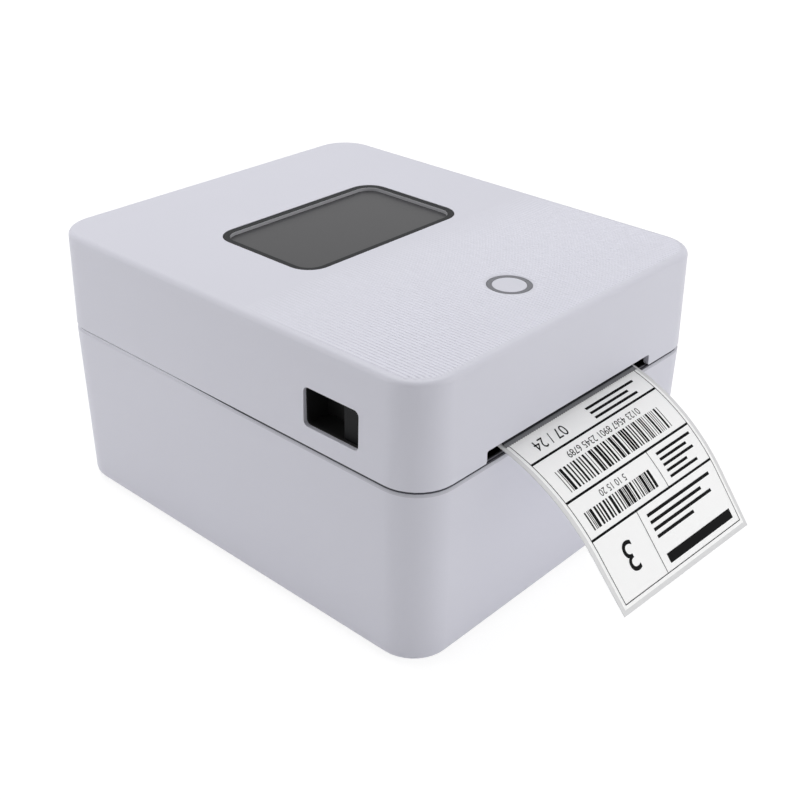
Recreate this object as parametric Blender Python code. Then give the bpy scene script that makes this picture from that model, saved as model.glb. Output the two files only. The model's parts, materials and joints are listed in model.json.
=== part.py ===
"""Desktop thermal label printer: a clamshell case with its lid hinge and side latches, roll well, media
guides, platen drive, floating print head, feed button and a label web from the roll out of the front slot.

Lengths are metres. Sizes are given in the case frame: x to the printer's right seen from behind the front
face, y to the rear, z up, with x = y = 0 at the case's middle and z = 0 at the case's lower edge. The label
leaves at the front, towards -y. An empty then puts the feet on the floor and centres the whole part.
"""

import math

import bmesh
import bpy
from mathutils import Matrix, Vector

# Fits
SEAT = 0.0003           # gap between a piece and what it rests on
RUN = 0.0004            # gap between pieces that slide or turn on each other
BORE_GAP = 0.0002       # radial gap of a pin or a shaft in its bore
OVERLAP = 0.001         # how far a joined shape reaches into the one that carries it
BEYOND = 0.010          # how far a cutter reaches past the face that it opens

# Case shells
CASE_WIDTH = 0.208
CASE_DEPTH = 0.2485
CASE_HEIGHT = 0.1395
SEAM_HEIGHT = 0.0889
SEAM_GAP = 0.0005
CORNER_RADIUS = 0.0205
CORNER_STEPS = 9
BASE_TAPER = 0.0010     # how much narrower each side of the base is at its foot
LID_TAPER = 0.0011      # how much narrower each side of the lid is at its top
BOTTOM_FILLET = 0.0029
TOP_FILLET = 0.0028
FILLET_STEPS = 4
BASE_EDGE_ROUND = 0.0018    # round of the base's top edge, under the seam
LID_EDGE = 0.0005       # chamfer of the lid's lower edge
WALL = 0.0025

# Bottom plate, feet and screws
RABBET_INSET = 0.0060
RABBET_HEIGHT = 0.0038
RIM_INSET = 0.0100
RIM_THICKNESS = 0.0022
PLATE_RECESS = 0.0002   # how far the bottom plate lies above the case's lower edge
FOOT_HEIGHT = 0.0020    # from the floor to the case's lower edge
FOOT_RADIUS = 0.0090
FOOT_INSET = 0.0340     # from the case's sides to the middle of a foot
SCREW_RADIUS = 0.0014
SCREW_HEAD_RADIUS = 0.0030
SCREW_HEAD_HEIGHT = 0.0014
SCREW_LENGTH = 0.0080
SCREW_SLOT_LENGTH = 0.0042
SCREW_SLOT_WIDTH = 0.0010
SCREW_SLOT_DEPTH = 0.0007
SCREW_SINK = 0.0002     # how far a screw head lies inside its counterbore
POST_SIDE_INSET = 0.0146    # from the case's sides to the middle of a screw post
POST_END_INSET = 0.0195     # from the case's front or rear to the middle of a screw post
POST_RADIUS = 0.0040

# Media tray: a deck under the seam, and the well that the roll lies in
DECK_DROP = 0.0062      # from the base's top edge down to the deck
DECK_THICKNESS = 0.0025
WELL_HALF_WIDTH = 0.0620
WELL_SETBACK = 0.00975  # from the case's front to the well
WELL_ROLL_GAP = 0.0200  # from the roll to the well's rear wall
WELL_WALL = 0.0025

# Platen roller, its bushes and the web guide behind it
PLATEN_SETBACK = 0.01825    # from the case's front to the platen's axis
PLATEN_DROP = 0.0009    # from the seam down to the platen's axis
PLATEN_RADIUS = 0.0070
PLATEN_SHAFT_RADIUS = 0.0030
BUSH_RADIUS = 0.0045
BUSH_FLANGE_RADIUS = 0.0060
BUSH_FLANGE_THICKNESS = 0.0015
CARRIER_HALF_DEPTH = 0.0070
CARRIER_RISE = 0.0060   # from the platen's axis to the carrier's top
RIB_GAP = 0.0095        # from the platen's axis to the web guide
RIB_DEPTH = 0.0110
RIB_THICKNESS = 0.0080
WEB_CLEARANCE = 0.0009  # from the web to the guide rib under it
SENSOR_WIDTH = 0.0120
SENSOR_DEPTH = 0.0070
SENSOR_HEIGHT = 0.0050

# Label roll and web
ROLL_AXIS_Y = 0.0220
ROLL_LIFT = 0.0039      # from the guides' racks up to the roll
ROLL_RADIUS = 0.0460
CORE_RADIUS = 0.0140
CORE_BORE = 0.0127
WEB_WIDTH = 0.1040
WEB_THICKNESS = 0.0003
CURL_RADIUS = 0.1010
CURL_END = math.radians(50.6)
CURL_STEPS = 16
TAIL_LENGTH = 0.0280

# Media guides: two plates with hubs, moved apart by racks on one pinion
GUIDE_THICKNESS = 0.0025
GUIDE_FOOT_HALF = 0.0300
GUIDE_HEAD_RADIUS = 0.0240
GUIDE_LEAN = math.radians(20)   # how far the round head runs down past its widest point
HUB_LENGTH = 0.0060
RACK_HEIGHT = 0.0030
RACK_DEPTH = 0.0060
RACK_REACH = 0.0150     # how far a rack runs past the pinion's axis
GUIDE_PINION_TEETH = 16
PINION_STUD_RADIUS = 0.0020

# Gear train on the left of the well
MODULE = 0.0008
DEDENDUM = 0.0010       # depth of a tooth below the pitch line
BACKLASH = 0.00012
PRESSURE_ANGLE = math.radians(20)
PLATEN_GEAR_TEETH = 20
IDLER_TEETH = 40
MOTOR_PINION_TEETH = 14
IDLER_DIRECTION = math.radians(-70)     # from the platen's axis to the idler's
MOTOR_DIRECTION = math.radians(-30)     # from the idler's axis to the motor's
GEAR_WIDTH = 0.0060
GEAR_GAP = 0.0015       # from the well's wall to the gears
IDLER_STUD_RADIUS = 0.0020
BRACKET_GAP = 0.0020    # from the gears to the motor bracket
BRACKET_THICKNESS = 0.0015
BRACKET_MARGIN = 0.0020
FLANGE_WIDTH = 0.0080
MOTOR_SIDE = 0.0350
MOTOR_WALL_GAP = 0.0027 # from the motor's end to the case's side wall
MOTOR_CHAMFER = 0.0040
MOTOR_SHAFT_RADIUS = 0.0025
MOTOR_SHAFT_DEPTH = 0.0050

# Main board and rear sockets
BOARD_THICKNESS = 0.0016
BOARD_SETBACK = 0.0150  # from the case's rear face to the board
BOARD_POST_GAP = 0.0104 # from the board to the screw post at its end
BOARD_WIDTH = 0.0950
BOARD_DECK_GAP = 0.00995    # from the board's top to the deck
SOCKET_Z = 0.0240
SOCKET_RECESS = 0.0010  # how far the sockets end inside the case's rear face
CUTOUT_GAP = 0.0003
USB_FROM_END = 0.0670   # from the board's end to the socket's middle
USB_WIDTH = 0.0120
USB_HEIGHT = 0.0110
USB_MOUTH_WIDTH = 0.0086
USB_MOUTH_HEIGHT = 0.0078
USB_TONGUE_WIDTH = 0.0056
USB_TONGUE_HEIGHT = 0.0032
JACK_FROM_END = 0.0410
JACK_WIDTH = 0.0100
JACK_HEIGHT = 0.0110
JACK_MOUTH_RADIUS = 0.0033
JACK_PIN_RADIUS = 0.0010
MOUTH_DEPTH = 0.0090
SWITCH_FROM_END = 0.0150
SWITCH_WIDTH = 0.0140
SWITCH_HEIGHT = 0.0240
SWITCH_DEPTH = 0.0120
SWITCH_WALL = 0.0016
ROCKER_HALF_HEIGHT = 0.0085
ROCKER_REACH = 0.0036   # from the pivot to the rocker's outer corners
ROCKER_VALLEY = 0.0018  # from the pivot to the valley between its two faces
ROCKER_HEEL = 0.0030
ROCKER_TILT = math.radians(10)

# Lid hinge at the rear edge
HINGE_SETBACK = 0.00525
EAR_INSET = 0.0340      # from the case's side to the ear's inner face
EAR_WIDTH = 0.0040
EAR_RADIUS = 0.0024
EAR_STEPS = 10
EAR_DEPTH = 0.0100      # how far the ear's root reaches below the base's top edge
KNUCKLE_RISE = 0.0070
HINGE_PIN_RADIUS = 0.0012

# Window
WINDOW_HALF_WIDTH = 0.0552
WINDOW_FRONT = -0.0109
WINDOW_REAR = 0.0572
WINDOW_CORNER = 0.0120
BEZEL_WIDTH = 0.0034
BEZEL_DEPTH = 0.0048
BEZEL_FLANGE = 0.0020
BEZEL_FLANGE_THICKNESS = 0.0015
BEZEL_GAP = 0.0002
PANE_DROP = 0.0026
PANE_THICKNESS = 0.0015
PANE_LAP = 0.0011

# Feed button
BUTTON_SETBACK = 0.04015    # from the case's front to the button's axis
BUTTON_RADIUS = 0.0078
BUTTON_THICKNESS = 0.0030
BUTTON_STEM_RADIUS = 0.0030
RING_RADIUS = 0.0104
FLUSH = 0.0001          # how far the button, the ring and the bezel lie under the lid's top
BUTTON_TRAVEL = 0.0008
BUTTON_BOARD_HALF = 0.0140  # from the button's axis to the board's rear and side edges
TACT_SIDE = 0.0060
SWITCH_BODY = 0.0035
PLUNGER_RADIUS = 0.0017
PLUNGER_HEIGHT = 0.0010

# Label slot and tear bar
SLOT_HALF_WIDTH = 0.0617
SLOT_HEIGHT = 0.0064    # from the seam to the slot's top
SLOT_CORNER = 0.0008    # round of the slot's upper corners
SLOT_FLARE = 0.0020     # round where the slot's ends meet the seam
TEAR_THICKNESS = 0.0008
TEAR_HEIGHT = 0.0120
TEAR_TEETH = 30
TEAR_TOOTH = 0.0010
TEAR_CLEARANCE = 0.0008

# Print head, in a frame that lies on the web at the nip
CERAMIC_HALF_WIDTH = 0.0560
CERAMIC_HALF_DEPTH = 0.0070
CERAMIC_THICKNESS = 0.0012
HEAD_HALF_WIDTH = 0.0580
HEAD_FRONT = -0.0110
HEAD_REAR = 0.0120
HEAD_HEIGHT = 0.0100
FIN_COUNT = 5
FIN_GROOVE = 0.0022
FIN_DEPTH = 0.0040
HEAD_SPRING_X = 0.0350
HEAD_SPRING_RADIUS = 0.0036
HEAD_SPRING_WIRE_RADIUS = 0.0004
HEAD_SPRING_TURNS = 3
HEAD_SPRING_ROOM = 0.0060
BRIDGE_THICKNESS = 0.0015
BRIDGE_SKIRT = 0.0040   # from the web up to the lower edge of the bridge's ends

# Inner cover of the lid
INNER_POCKET_GAP = 0.0024   # from the inner cover to the latch pockets
INNER_FRONT_GAP = 0.00725   # from the case's front to the inner cover
INNER_REAR_GAP = 0.01625
INNER_CORNER = 0.0080
INNER_THICKNESS = 0.0025
INNER_WINDOW_MARGIN = 0.0040
BOSS_INSET = 0.0120     # from the inner cover's side to a boss
BOSS_SETBACK = 0.0720   # from the inner cover's front to a boss
BOSS_RADIUS = 0.0040

# Side latches
RECESS_SETBACK = 0.03475    # from the case's front to the recess
RECESS_LENGTH = 0.0324
RECESS_LIFT = 0.0101    # from the seam to the recess
RECESS_HEIGHT = 0.0188
RECESS_CORNER = 0.0025
POCKET_WALL = 0.0015
POCKET_MARGIN = 0.0010  # how far the pocket's inside reaches past the recess
POCKET_INSET = 0.0036   # from the case's side to the pocket's rim
POCKET_DEPTH = 0.0140
LATCH_TRAVEL = 0.0050
LATCH_PAD_DEPTH = 0.0115
LATCH_PAD_SINK = 0.0006 # from the pocket's rim to the pad's outer face
LATCH_PAD_WIDTH = 0.0088
LATCH_ARM_STEP = 0.0020 # from the pad's inner face to the arm's
LATCH_ARM_WIDTH = 0.0030
LATCH_ARM_DEPTH = 0.0060
LATCH_ARM_INSET = 0.0005
HOOK_LENGTH = 0.0070
HOOK_HEIGHT = 0.0030
STRIKE_DEPTH = 0.0030
STRIKE_THICKNESS = 0.0020
STRIKE_GAP = 0.0040     # from the hook's arm to the strike
LATCH_SPRING_RADIUS = 0.0024
LATCH_SPRING_WIRE_RADIUS = 0.0003
LATCH_SPRING_TURNS = 3
SPRING_POINTS = 10      # points of one curl

# Heights and places that follow from the sizes above
BASE_TOP = SEAM_HEIGHT - SEAM_GAP / 2
LID_LOW = SEAM_HEIGHT + SEAM_GAP / 2
REAR = CASE_DEPTH / 2
FRONT = -CASE_DEPTH / 2
HALF_WIDTH = CASE_WIDTH / 2
FOOT_X = HALF_WIDTH - FOOT_INSET
FOOT_Y = REAR - FOOT_INSET
POST_X = HALF_WIDTH - POST_SIDE_INSET
POST_Y = REAR - POST_END_INSET
DECK_TOP = BASE_TOP - DECK_DROP
DECK_LOW = DECK_TOP - DECK_THICKNESS
PLATE_TOP = RABBET_HEIGHT - SEAT
RIM_TOP = RABBET_HEIGHT + RIM_THICKNESS
WELL_LOW = RIM_TOP + SEAT
WELL_FLOOR = WELL_LOW + WELL_WALL
HINGE_Y = REAR - HINGE_SETBACK
HINGE_Z = BASE_TOP + HINGE_SETBACK + RUN
RACK_LOW = WELL_FLOOR + SEAT
ROLL_AXIS_Z = RACK_LOW + RACK_HEIGHT + ROLL_LIFT + ROLL_RADIUS
ROLL_HALF = WEB_WIDTH / 2
WELL_FRONT = FRONT + WELL_SETBACK
WELL_REAR = ROLL_AXIS_Y + ROLL_RADIUS + WELL_ROLL_GAP
PLATEN_Y = FRONT + PLATEN_SETBACK
PLATEN_Z = SEAM_HEIGHT - PLATEN_DROP
PLATEN_HALF = WELL_HALF_WIDTH - SEAT - BUSH_FLANGE_THICKNESS - RUN
PLATEN_REACH = PLATEN_RADIUS + SEAT
ROLL_REACH = ROLL_RADIUS + SEAT
ROLL_SPAN = math.hypot(ROLL_AXIS_Y - PLATEN_Y, ROLL_AXIS_Z - PLATEN_Z)
NIP_TILT = math.atan2(ROLL_AXIS_Z - PLATEN_Z, ROLL_AXIS_Y - PLATEN_Y) + math.asin(
    (ROLL_REACH - PLATEN_REACH) / ROLL_SPAN)
GEAR_NEAR = -WELL_HALF_WIDTH - WELL_WALL - GEAR_GAP
GEAR_FAR = GEAR_NEAR - GEAR_WIDTH
RIB_FRONT = PLATEN_Y + RIB_GAP
RIB_REAR = RIB_FRONT + RIB_DEPTH
RIB_MIDDLE = (RIB_FRONT + RIB_REAR) / 2
EAR_X = HALF_WIDTH - EAR_INSET
KNUCKLE_X = EAR_X + EAR_WIDTH + RUN
GUIDE_FACE = ROLL_HALF + SEAT
PINION_PITCH_RADIUS = MODULE * GUIDE_PINION_TEETH / 2
BOARD_FACE = REAR - BOARD_SETBACK
BOARD_RIGHT = POST_X - POST_RADIUS - BOARD_POST_GAP
BOARD_LEFT = BOARD_RIGHT - BOARD_WIDTH
BOARD_TOP = DECK_LOW - BOARD_DECK_GAP
USB_X = BOARD_RIGHT - USB_FROM_END
JACK_X = BOARD_RIGHT - JACK_FROM_END
SWITCH_X = BOARD_RIGHT - SWITCH_FROM_END
SOCKET_END = REAR - BASE_TAPER - SOCKET_RECESS
BUTTON_Y = FRONT + BUTTON_SETBACK
SLOT_TOP = SEAM_HEIGHT + SLOT_HEIGHT
HEAD_LOW = SEAT + CERAMIC_THICKNESS + SEAT
HEAD_TOP = HEAD_LOW + HEAD_HEIGHT
BRIDGE_LOW = HEAD_TOP + HEAD_SPRING_ROOM
BRIDGE_TOP = BRIDGE_LOW + BRIDGE_THICKNESS
RECESS_FRONT = FRONT + RECESS_SETBACK
RECESS_REAR = RECESS_FRONT + RECESS_LENGTH
RECESS_LOW = SEAM_HEIGHT + RECESS_LIFT
RECESS_HIGH = RECESS_LOW + RECESS_HEIGHT
POCKET_FRONT = RECESS_FRONT - LATCH_TRAVEL - 2 * POCKET_MARGIN
POCKET_REAR = RECESS_REAR + POCKET_MARGIN
POCKET_LOW = RECESS_LOW - POCKET_MARGIN
POCKET_HIGH = RECESS_HIGH + POCKET_MARGIN
POCKET_OUTER = HALF_WIDTH - POCKET_INSET
POCKET_INNER = POCKET_OUTER - POCKET_DEPTH
INNER_HALF_WIDTH = POCKET_INNER - INNER_POCKET_GAP
INNER_FRONT = FRONT + INNER_FRONT_GAP
INNER_REAR = REAR - INNER_REAR_GAP
BOSS_X = INNER_HALF_WIDTH - BOSS_INSET
BOSS_Y = INNER_FRONT + BOSS_SETBACK
LATCH_PAD_OUTER = POCKET_OUTER - LATCH_PAD_SINK
LATCH_PAD_INNER = LATCH_PAD_OUTER - LATCH_PAD_WIDTH
LATCH_ARM_INNER = LATCH_PAD_INNER + LATCH_ARM_STEP
LATCH_ARM_OUTER = LATCH_ARM_INNER + LATCH_ARM_WIDTH
PAD_FRONT = RECESS_FRONT + SEAT
PAD_REAR = PAD_FRONT + LATCH_PAD_DEPTH
ARM_FRONT = PAD_FRONT + LATCH_ARM_INSET
ARM_REAR = ARM_FRONT + LATCH_ARM_DEPTH
STRIKE_FRONT = ARM_REAR + STRIKE_GAP
STRIKE_LOW = DECK_TOP + SEAT
HOOK_TOP = STRIKE_LOW + STRIKE_THICKNESS
HOOK_LOW = HOOK_TOP - HOOK_HEIGHT
HOLE_INNER = LATCH_ARM_INNER - 2 * RUN
HOLE_OUTER = LATCH_ARM_OUTER + 2 * RUN

# Finishes: colour, roughness, metallic
FINISHES = {
    "shell": ((0.68, 0.68, 0.72), 0.45, 0.0),
    "frame": ((0.30, 0.31, 0.33), 0.55, 0.0),
    "black": ((0.02, 0.02, 0.022), 0.45, 0.0),
    "dark": ((0.06, 0.06, 0.065), 0.40, 0.0),
    "blackened": ((0.04, 0.04, 0.042), 0.45, 0.6),
    "smoked": ((0.11, 0.11, 0.115), 0.15, 0.0),
    "ring": ((0.22, 0.22, 0.26), 0.35, 0.0),
    "rubber": ((0.03, 0.03, 0.03), 0.80, 0.0),
    "steel": ((0.60, 0.60, 0.62), 0.30, 1.0),
    "aluminium": ((0.75, 0.75, 0.77), 0.40, 1.0),
    "ceramic": ((0.45, 0.35, 0.25), 0.30, 0.0),
    "gear": ((0.80, 0.79, 0.74), 0.50, 0.0),
    "circuit": ((0.02, 0.16, 0.06), 0.45, 0.0),
    "paper": ((0.88, 0.88, 0.88), 0.60, 0.0),
    "board": ((0.45, 0.32, 0.20), 0.85, 0.0),
}

EMPTY_SIZE = 0.02       # how large an empty is drawn
SHARP_ANGLE = math.radians(35)
FACETS_SMALL = 16       # sides of pins, screws and studs
FACETS = 24             # sides of bushes, shafts and posts
FACETS_LARGE = 48       # sides of rolls, rings and the button
SIDES = ((-1, "left"), (1, "right"))
PLANES = {
    "X": lambda u, v, w: (w, u, v),
    "Y": lambda u, v, w: (u, w, v),
    "Z": lambda u, v, w: (u, v, w),
}


# Shapes: each function returns a closed bmesh in the case frame

def box(low, high):
    """A block between two corners, given in any order."""
    bm = bmesh.new()
    size = [abs(b - a) for a, b in zip(low, high)]
    middle = [(a + b) / 2 for a, b in zip(low, high)]
    bmesh.ops.create_cube(bm, size=1, matrix=Matrix.LocRotScale(middle, None, size))
    return bm


def prism(axis, outline, low, high):
    """A flat outline carried along one axis. It lies in the other two axes, in X, Y, Z order."""
    bm = bmesh.new()
    place = PLANES[axis]
    face = bm.faces.new([bm.verts.new(place(u, v, low)) for u, v in outline])
    grown = bmesh.ops.extrude_face_region(bm, geom=[face])["geom"]
    moved = [part for part in grown if isinstance(part, bmesh.types.BMVert)]
    bmesh.ops.translate(bm, verts=moved, vec=place(0, 0, high - low))
    bmesh.ops.recalc_face_normals(bm, faces=bm.faces)
    return bm


def turned(axis, centre, profile, sides):
    """A profile of (radius, place along the axis) turned about an axis through centre."""
    bm = bmesh.new()
    place = PLANES[axis]
    points = [bm.verts.new(place(centre[0] + radius, centre[1], along)) for radius, along in profile]
    closed = all(radius > 0 for radius, _ in profile)
    pairs = zip(points, points[1:] + points[:1]) if closed else zip(points, points[1:])
    edges = [bm.edges.new(pair) for pair in pairs]
    bmesh.ops.spin(bm, geom=points + edges, cent=place(centre[0], centre[1], 0), axis=place(0, 0, 1),
                   angle=math.tau, steps=sides, use_merge=True)
    bmesh.ops.remove_doubles(bm, verts=bm.verts, dist=1e-7)
    bmesh.ops.recalc_face_normals(bm, faces=bm.faces)
    return bm


def rod(axis, centre, radius, low, high, sides=FACETS):
    return turned(axis, centre, [(0, low), (radius, low), (radius, high), (0, high)], sides)


def tube(axis, centre, bore, radius, low, high, sides=FACETS_LARGE):
    return turned(axis, centre, [(bore, low), (radius, low), (radius, high), (bore, high)], sides)


def loft(rings):
    """A skin through rings of points, closed at both ends."""
    bm = bmesh.new()
    rows = [[bm.verts.new(point) for point in ring] for ring in rings]
    for row in (rows[0], rows[-1]):
        bm.faces.new(row)
    for lower, upper in zip(rows, rows[1:]):
        for i in range(len(lower)):
            bm.faces.new((lower[i - 1], lower[i], upper[i], upper[i - 1]))
    bmesh.ops.recalc_face_normals(bm, faces=bm.faces)
    return bm


def arc(centre, radius, start, end, steps):
    """Points on an arc, in the plane of an outline."""
    angles = [start + (end - start) * step / steps for step in range(steps + 1)]
    return [(centre[0] + radius * math.cos(a), centre[1] + radius * math.sin(a)) for a in angles]


def rounded(low, high, radius, steps=6):
    """Outline of a rectangle with round corners."""
    inner_low = [value + radius for value in low]
    inner_high = [value - radius for value in high]
    corners = ((inner_high[0], inner_high[1]), (inner_low[0], inner_high[1]),
               (inner_low[0], inner_low[1]), (inner_high[0], inner_low[1]))
    points = []
    for turn, corner in enumerate(corners):
        start = turn * math.pi / 2
        points += arc(corner, radius, start, start + math.pi / 2, steps)
    return points


def case_outline(inset):
    """The case's plan, drawn in by inset on every side."""
    half = (HALF_WIDTH - inset, REAR - inset)
    return rounded([-h for h in half], half, CORNER_RADIUS - inset, CORNER_STEPS)


def case_solid(sections):
    """A block with the case's plan, from (height, inset) sections."""
    return loft([[(x, y, height) for x, y in case_outline(inset)] for height, inset in sections])


def base_inset(height):
    """How far the base's tapered side lies inside the case's plan at a height."""
    return BASE_TAPER * (1 - height / BASE_TOP)


def quarter_round():
    """Steps of a quarter turn, as (share along the radius, share across it)."""
    angles = [math.pi / 2 * step / FILLET_STEPS for step in range(FILLET_STEPS + 1)]
    return [(1 - math.sin(angle), 1 - math.cos(angle)) for angle in angles]


def lower_fillet(low, inset, radius):
    """Sections of a rounded lower edge, from the edge up to the wall."""
    return [(low + radius * across, inset + radius * along) for along, across in quarter_round()]


def upper_fillet(top, inset, radius):
    """Sections of a rounded upper edge, from the wall up to the edge."""
    return [(top - radius * along, inset + radius * across) for along, across in quarter_round()]


def gear_outline(teeth, phase, centre=(0, 0)):
    """An involute spur gear's outline, with one tooth centred on the angle phase."""
    pitch = MODULE * teeth / 2
    base = pitch * math.cos(PRESSURE_ANGLE)
    root = pitch - DEDENDUM
    tip = pitch + MODULE
    half_tooth = math.pi / (2 * teeth) - BACKLASH / (2 * pitch)
    involute_at_pitch = math.tan(PRESSURE_ANGLE) - PRESSURE_ANGLE

    def half_angle(radius):
        slope = math.acos(min(1, base / radius))
        return half_tooth + involute_at_pitch - (math.tan(slope) - slope)

    flank = [(radius, half_angle(max(radius, base))) for radius in (root, pitch, tip)]
    points = []
    for tooth in range(teeth):
        middle = phase + math.tau * tooth / teeth
        rise = [(radius, middle - half) for radius, half in flank]
        fall = [(radius, middle + half) for radius, half in reversed(flank)]
        for radius, angle in rise + fall:
            points.append((centre[0] + radius * math.cos(angle), centre[1] + radius * math.sin(angle)))
    return points


def meshing_phase(phase, teeth, direction, other_teeth):
    """The phase of a gear whose axis lies in that direction from a gear with the given phase."""
    ratio = teeth / other_teeth
    return direction + math.pi - ratio * (phase - direction) - math.pi / other_teeth


# Objects: collections, empties, finishes, and pieces with their joins and cuts

def clear_scene():
    for old in list(bpy.data.objects):
        bpy.data.objects.remove(old, do_unlink=True)


def new_collection(name):
    collection = bpy.data.collections.new(name)
    bpy.context.scene.collection.children.link(collection)
    return collection


clear_scene()
PARTS = new_collection("label_printer")
CUTTERS = new_collection("cutters")
PLACES = {}             # name of an empty: the point of the case frame that its pieces are drawn about


def empty(name, place, parent=None, tilt=0.0):
    """An empty that carries the pieces of one body. A tilted one has its own drawing frame."""
    frame = bpy.data.objects.new(name, None)
    frame.empty_display_size = EMPTY_SIZE
    PARTS.objects.link(frame)
    frame.parent = parent
    frame.location = Vector(place) - (PLACES[parent.name] if parent else Vector())
    frame.rotation_euler.x = tilt
    PLACES[name] = Vector() if tilt else Vector(place)
    return frame


def finish_material(name, finish):
    colour, roughness, metallic = FINISHES[finish]
    material = bpy.data.materials.new(name)
    material.use_nodes = True
    shader = material.node_tree.nodes["Principled BSDF"]
    shader.inputs["Base Color"].default_value = (*colour, 1)
    shader.inputs["Roughness"].default_value = roughness
    shader.inputs["Metallic"].default_value = metallic
    material.diffuse_color = (*colour, 1)
    return material


def mesh_of(name, shape, origin):
    """A shape as a mesh about an origin, shaded smooth apart from its edges."""
    bmesh.ops.translate(shape, verts=shape.verts, vec=-origin)
    mesh = bpy.data.meshes.new(name)
    shape.to_mesh(mesh)
    shape.free()
    mesh.shade_smooth()
    mesh.set_sharp_from_angle(angle=SHARP_ANGLE)
    return mesh


def joins(*shapes):
    return [("UNION", shape) for shape in shapes]


def cuts(*shapes):
    return [("DIFFERENCE", shape) for shape in shapes]


def piece(name, finish, frame, shape, steps=()):
    """One part: a shape, then its joins and cuts in order."""
    origin = PLACES[frame.name]
    part = bpy.data.objects.new(name, mesh_of(name, shape, origin))
    part.data.materials.append(finish_material(name, finish))
    part.parent = frame
    PARTS.objects.link(part)
    for number, (operation, tool_shape) in enumerate(steps, 1):
        tool_name = f"{name}_{operation.lower()}_{number}"
        tool = bpy.data.objects.new(tool_name, mesh_of(tool_name, tool_shape, origin))
        tool.parent = frame
        tool.hide_render = True
        tool.display_type = "WIRE"
        CUTTERS.objects.link(tool)
        boolean = part.modifiers.new(tool_name, "BOOLEAN")
        boolean.operation = operation
        boolean.solver = "EXACT"
        boolean.object = tool


def spring(name, frame, start, end, radius, wire_radius, turns):
    """A compression spring between two points of the frame's drawing."""
    along = Vector(end) - Vector(start)
    turn_to = Vector((0, 0, 1)).rotation_difference(along).to_matrix()
    steps = turns * SPRING_POINTS
    points = []
    for step in range(steps + 1):
        angle = math.tau * step / SPRING_POINTS
        height = wire_radius + (along.length - 2 * wire_radius) * step / steps
        points.append(Vector((radius * math.cos(angle), radius * math.sin(angle), height)))
    far_apart = SPRING_POINTS // 2
    least = min((a - b).length for i, a in enumerate(points) for b in points[i + far_apart:])
    print(f"{name}: least gap between curls {(least - 2 * wire_radius) * 1000:.2f} mm")
    curve = bpy.data.curves.new(name, "CURVE")
    curve.dimensions = "3D"
    curve.bevel_depth = wire_radius
    curve.bevel_resolution = 1
    curve.use_fill_caps = True
    curve.materials.append(finish_material(name, "steel"))
    spline = curve.splines.new("POLY")
    spline.points.add(len(points) - 1)
    for control, point in zip(spline.points, points):
        control.co = (*(Vector(start) + turn_to @ point - PLACES[frame.name]), 1)
    coil = bpy.data.objects.new(name, curve)
    coil.parent = frame
    PARTS.objects.link(coil)


# Label web, in the plane of y and z

def on_circle(centre, radius, angle):
    """The point of a circle whose upward normal leans forward by angle, and that normal."""
    normal = Vector((-math.sin(angle), math.cos(angle)))
    return Vector(centre) + radius * normal, normal


def web_line():
    """The web's underside from the roll over the platen to the label's end, with its normals."""
    nip, normal = on_circle((PLATEN_Y, PLATEN_Z), PLATEN_REACH, NIP_TILT)
    line = [on_circle((ROLL_AXIS_Y, ROLL_AXIS_Z), ROLL_REACH, NIP_TILT)]
    curl_centre = nip - CURL_RADIUS * normal
    for step in range(CURL_STEPS + 1):
        angle = NIP_TILT + (CURL_END - NIP_TILT) * step / CURL_STEPS
        line.append(on_circle(curl_centre, CURL_RADIUS, angle))
    last, normal = line[-1]
    line.append((last + TAIL_LENGTH * Vector((-normal.y, normal.x)), normal))
    return line


def web_height(y):
    """Height of the web's underside at a depth between the roll and the label's end."""
    line = [point for point, _ in web_line()]
    for rear, front in zip(line, line[1:]):
        if front.x <= y <= rear.x:
            return front.y + (rear.y - front.y) * (y - front.x) / (rear.x - front.x)
    raise ValueError("the web doesn't reach that depth")


def web_outline():
    line = web_line()
    return [point for point, _ in line] + [point + WEB_THICKNESS * n for point, n in reversed(line)]


def nip_point():
    """The web's upper face over the platen, where the print head's frame lies."""
    point, _ = on_circle((PLATEN_Y, PLATEN_Z), PLATEN_REACH + WEB_THICKNESS, NIP_TILT)
    return (0, *point)


def inner_cover_low():
    """The inner cover lies on the highest edge of the tilted bridge over the print head."""
    rise = BRIDGE_TOP * math.cos(NIP_TILT) + HEAD_REAR * math.sin(NIP_TILT)
    return nip_point()[2] + rise + SEAT


# Base: shell, bottom plate, feet and rear sockets

def rear_block(x, width, height, start, end):
    """A block centred on a socket's axis, between two depths."""
    return box((x - width / 2, start, SOCKET_Z - height / 2), (x + width / 2, end, SOCKET_Z + height / 2))


def rear_opening(x, width, height):
    """The rear wall's opening for a socket."""
    inside = REAR - BASE_TAPER - 2 * WALL
    return rear_block(x, width + 2 * CUTOUT_GAP, height + 2 * CUTOUT_GAP, inside, REAR + BEYOND)


def ear_outline():
    """A hinge ear on the rear wall. Its neck stays before the axis, clear of the open lid."""
    wall = REAR - WALL + OVERLAP
    root = BASE_TOP - EAR_DEPTH
    shoulder = BASE_TOP - OVERLAP
    head = arc((HINGE_Y, HINGE_Z), EAR_RADIUS, -math.pi / 2, math.pi, EAR_STEPS)
    return [(HINGE_Y - EAR_RADIUS, root), (wall, root), (wall, shoulder), (HINGE_Y, shoulder), *head]


def hinge_bores():
    """Bores for the hinge pins, through an ear and a knuckle on each side."""
    bore = HINGE_PIN_RADIUS + BORE_GAP
    near = EAR_X - OVERLAP
    far = KNUCKLE_X + EAR_WIDTH + OVERLAP
    return [rod("X", (HINGE_Y, HINGE_Z), bore, *sorted((side * near, side * far)), FACETS_SMALL)
            for side, _ in SIDES]


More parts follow.
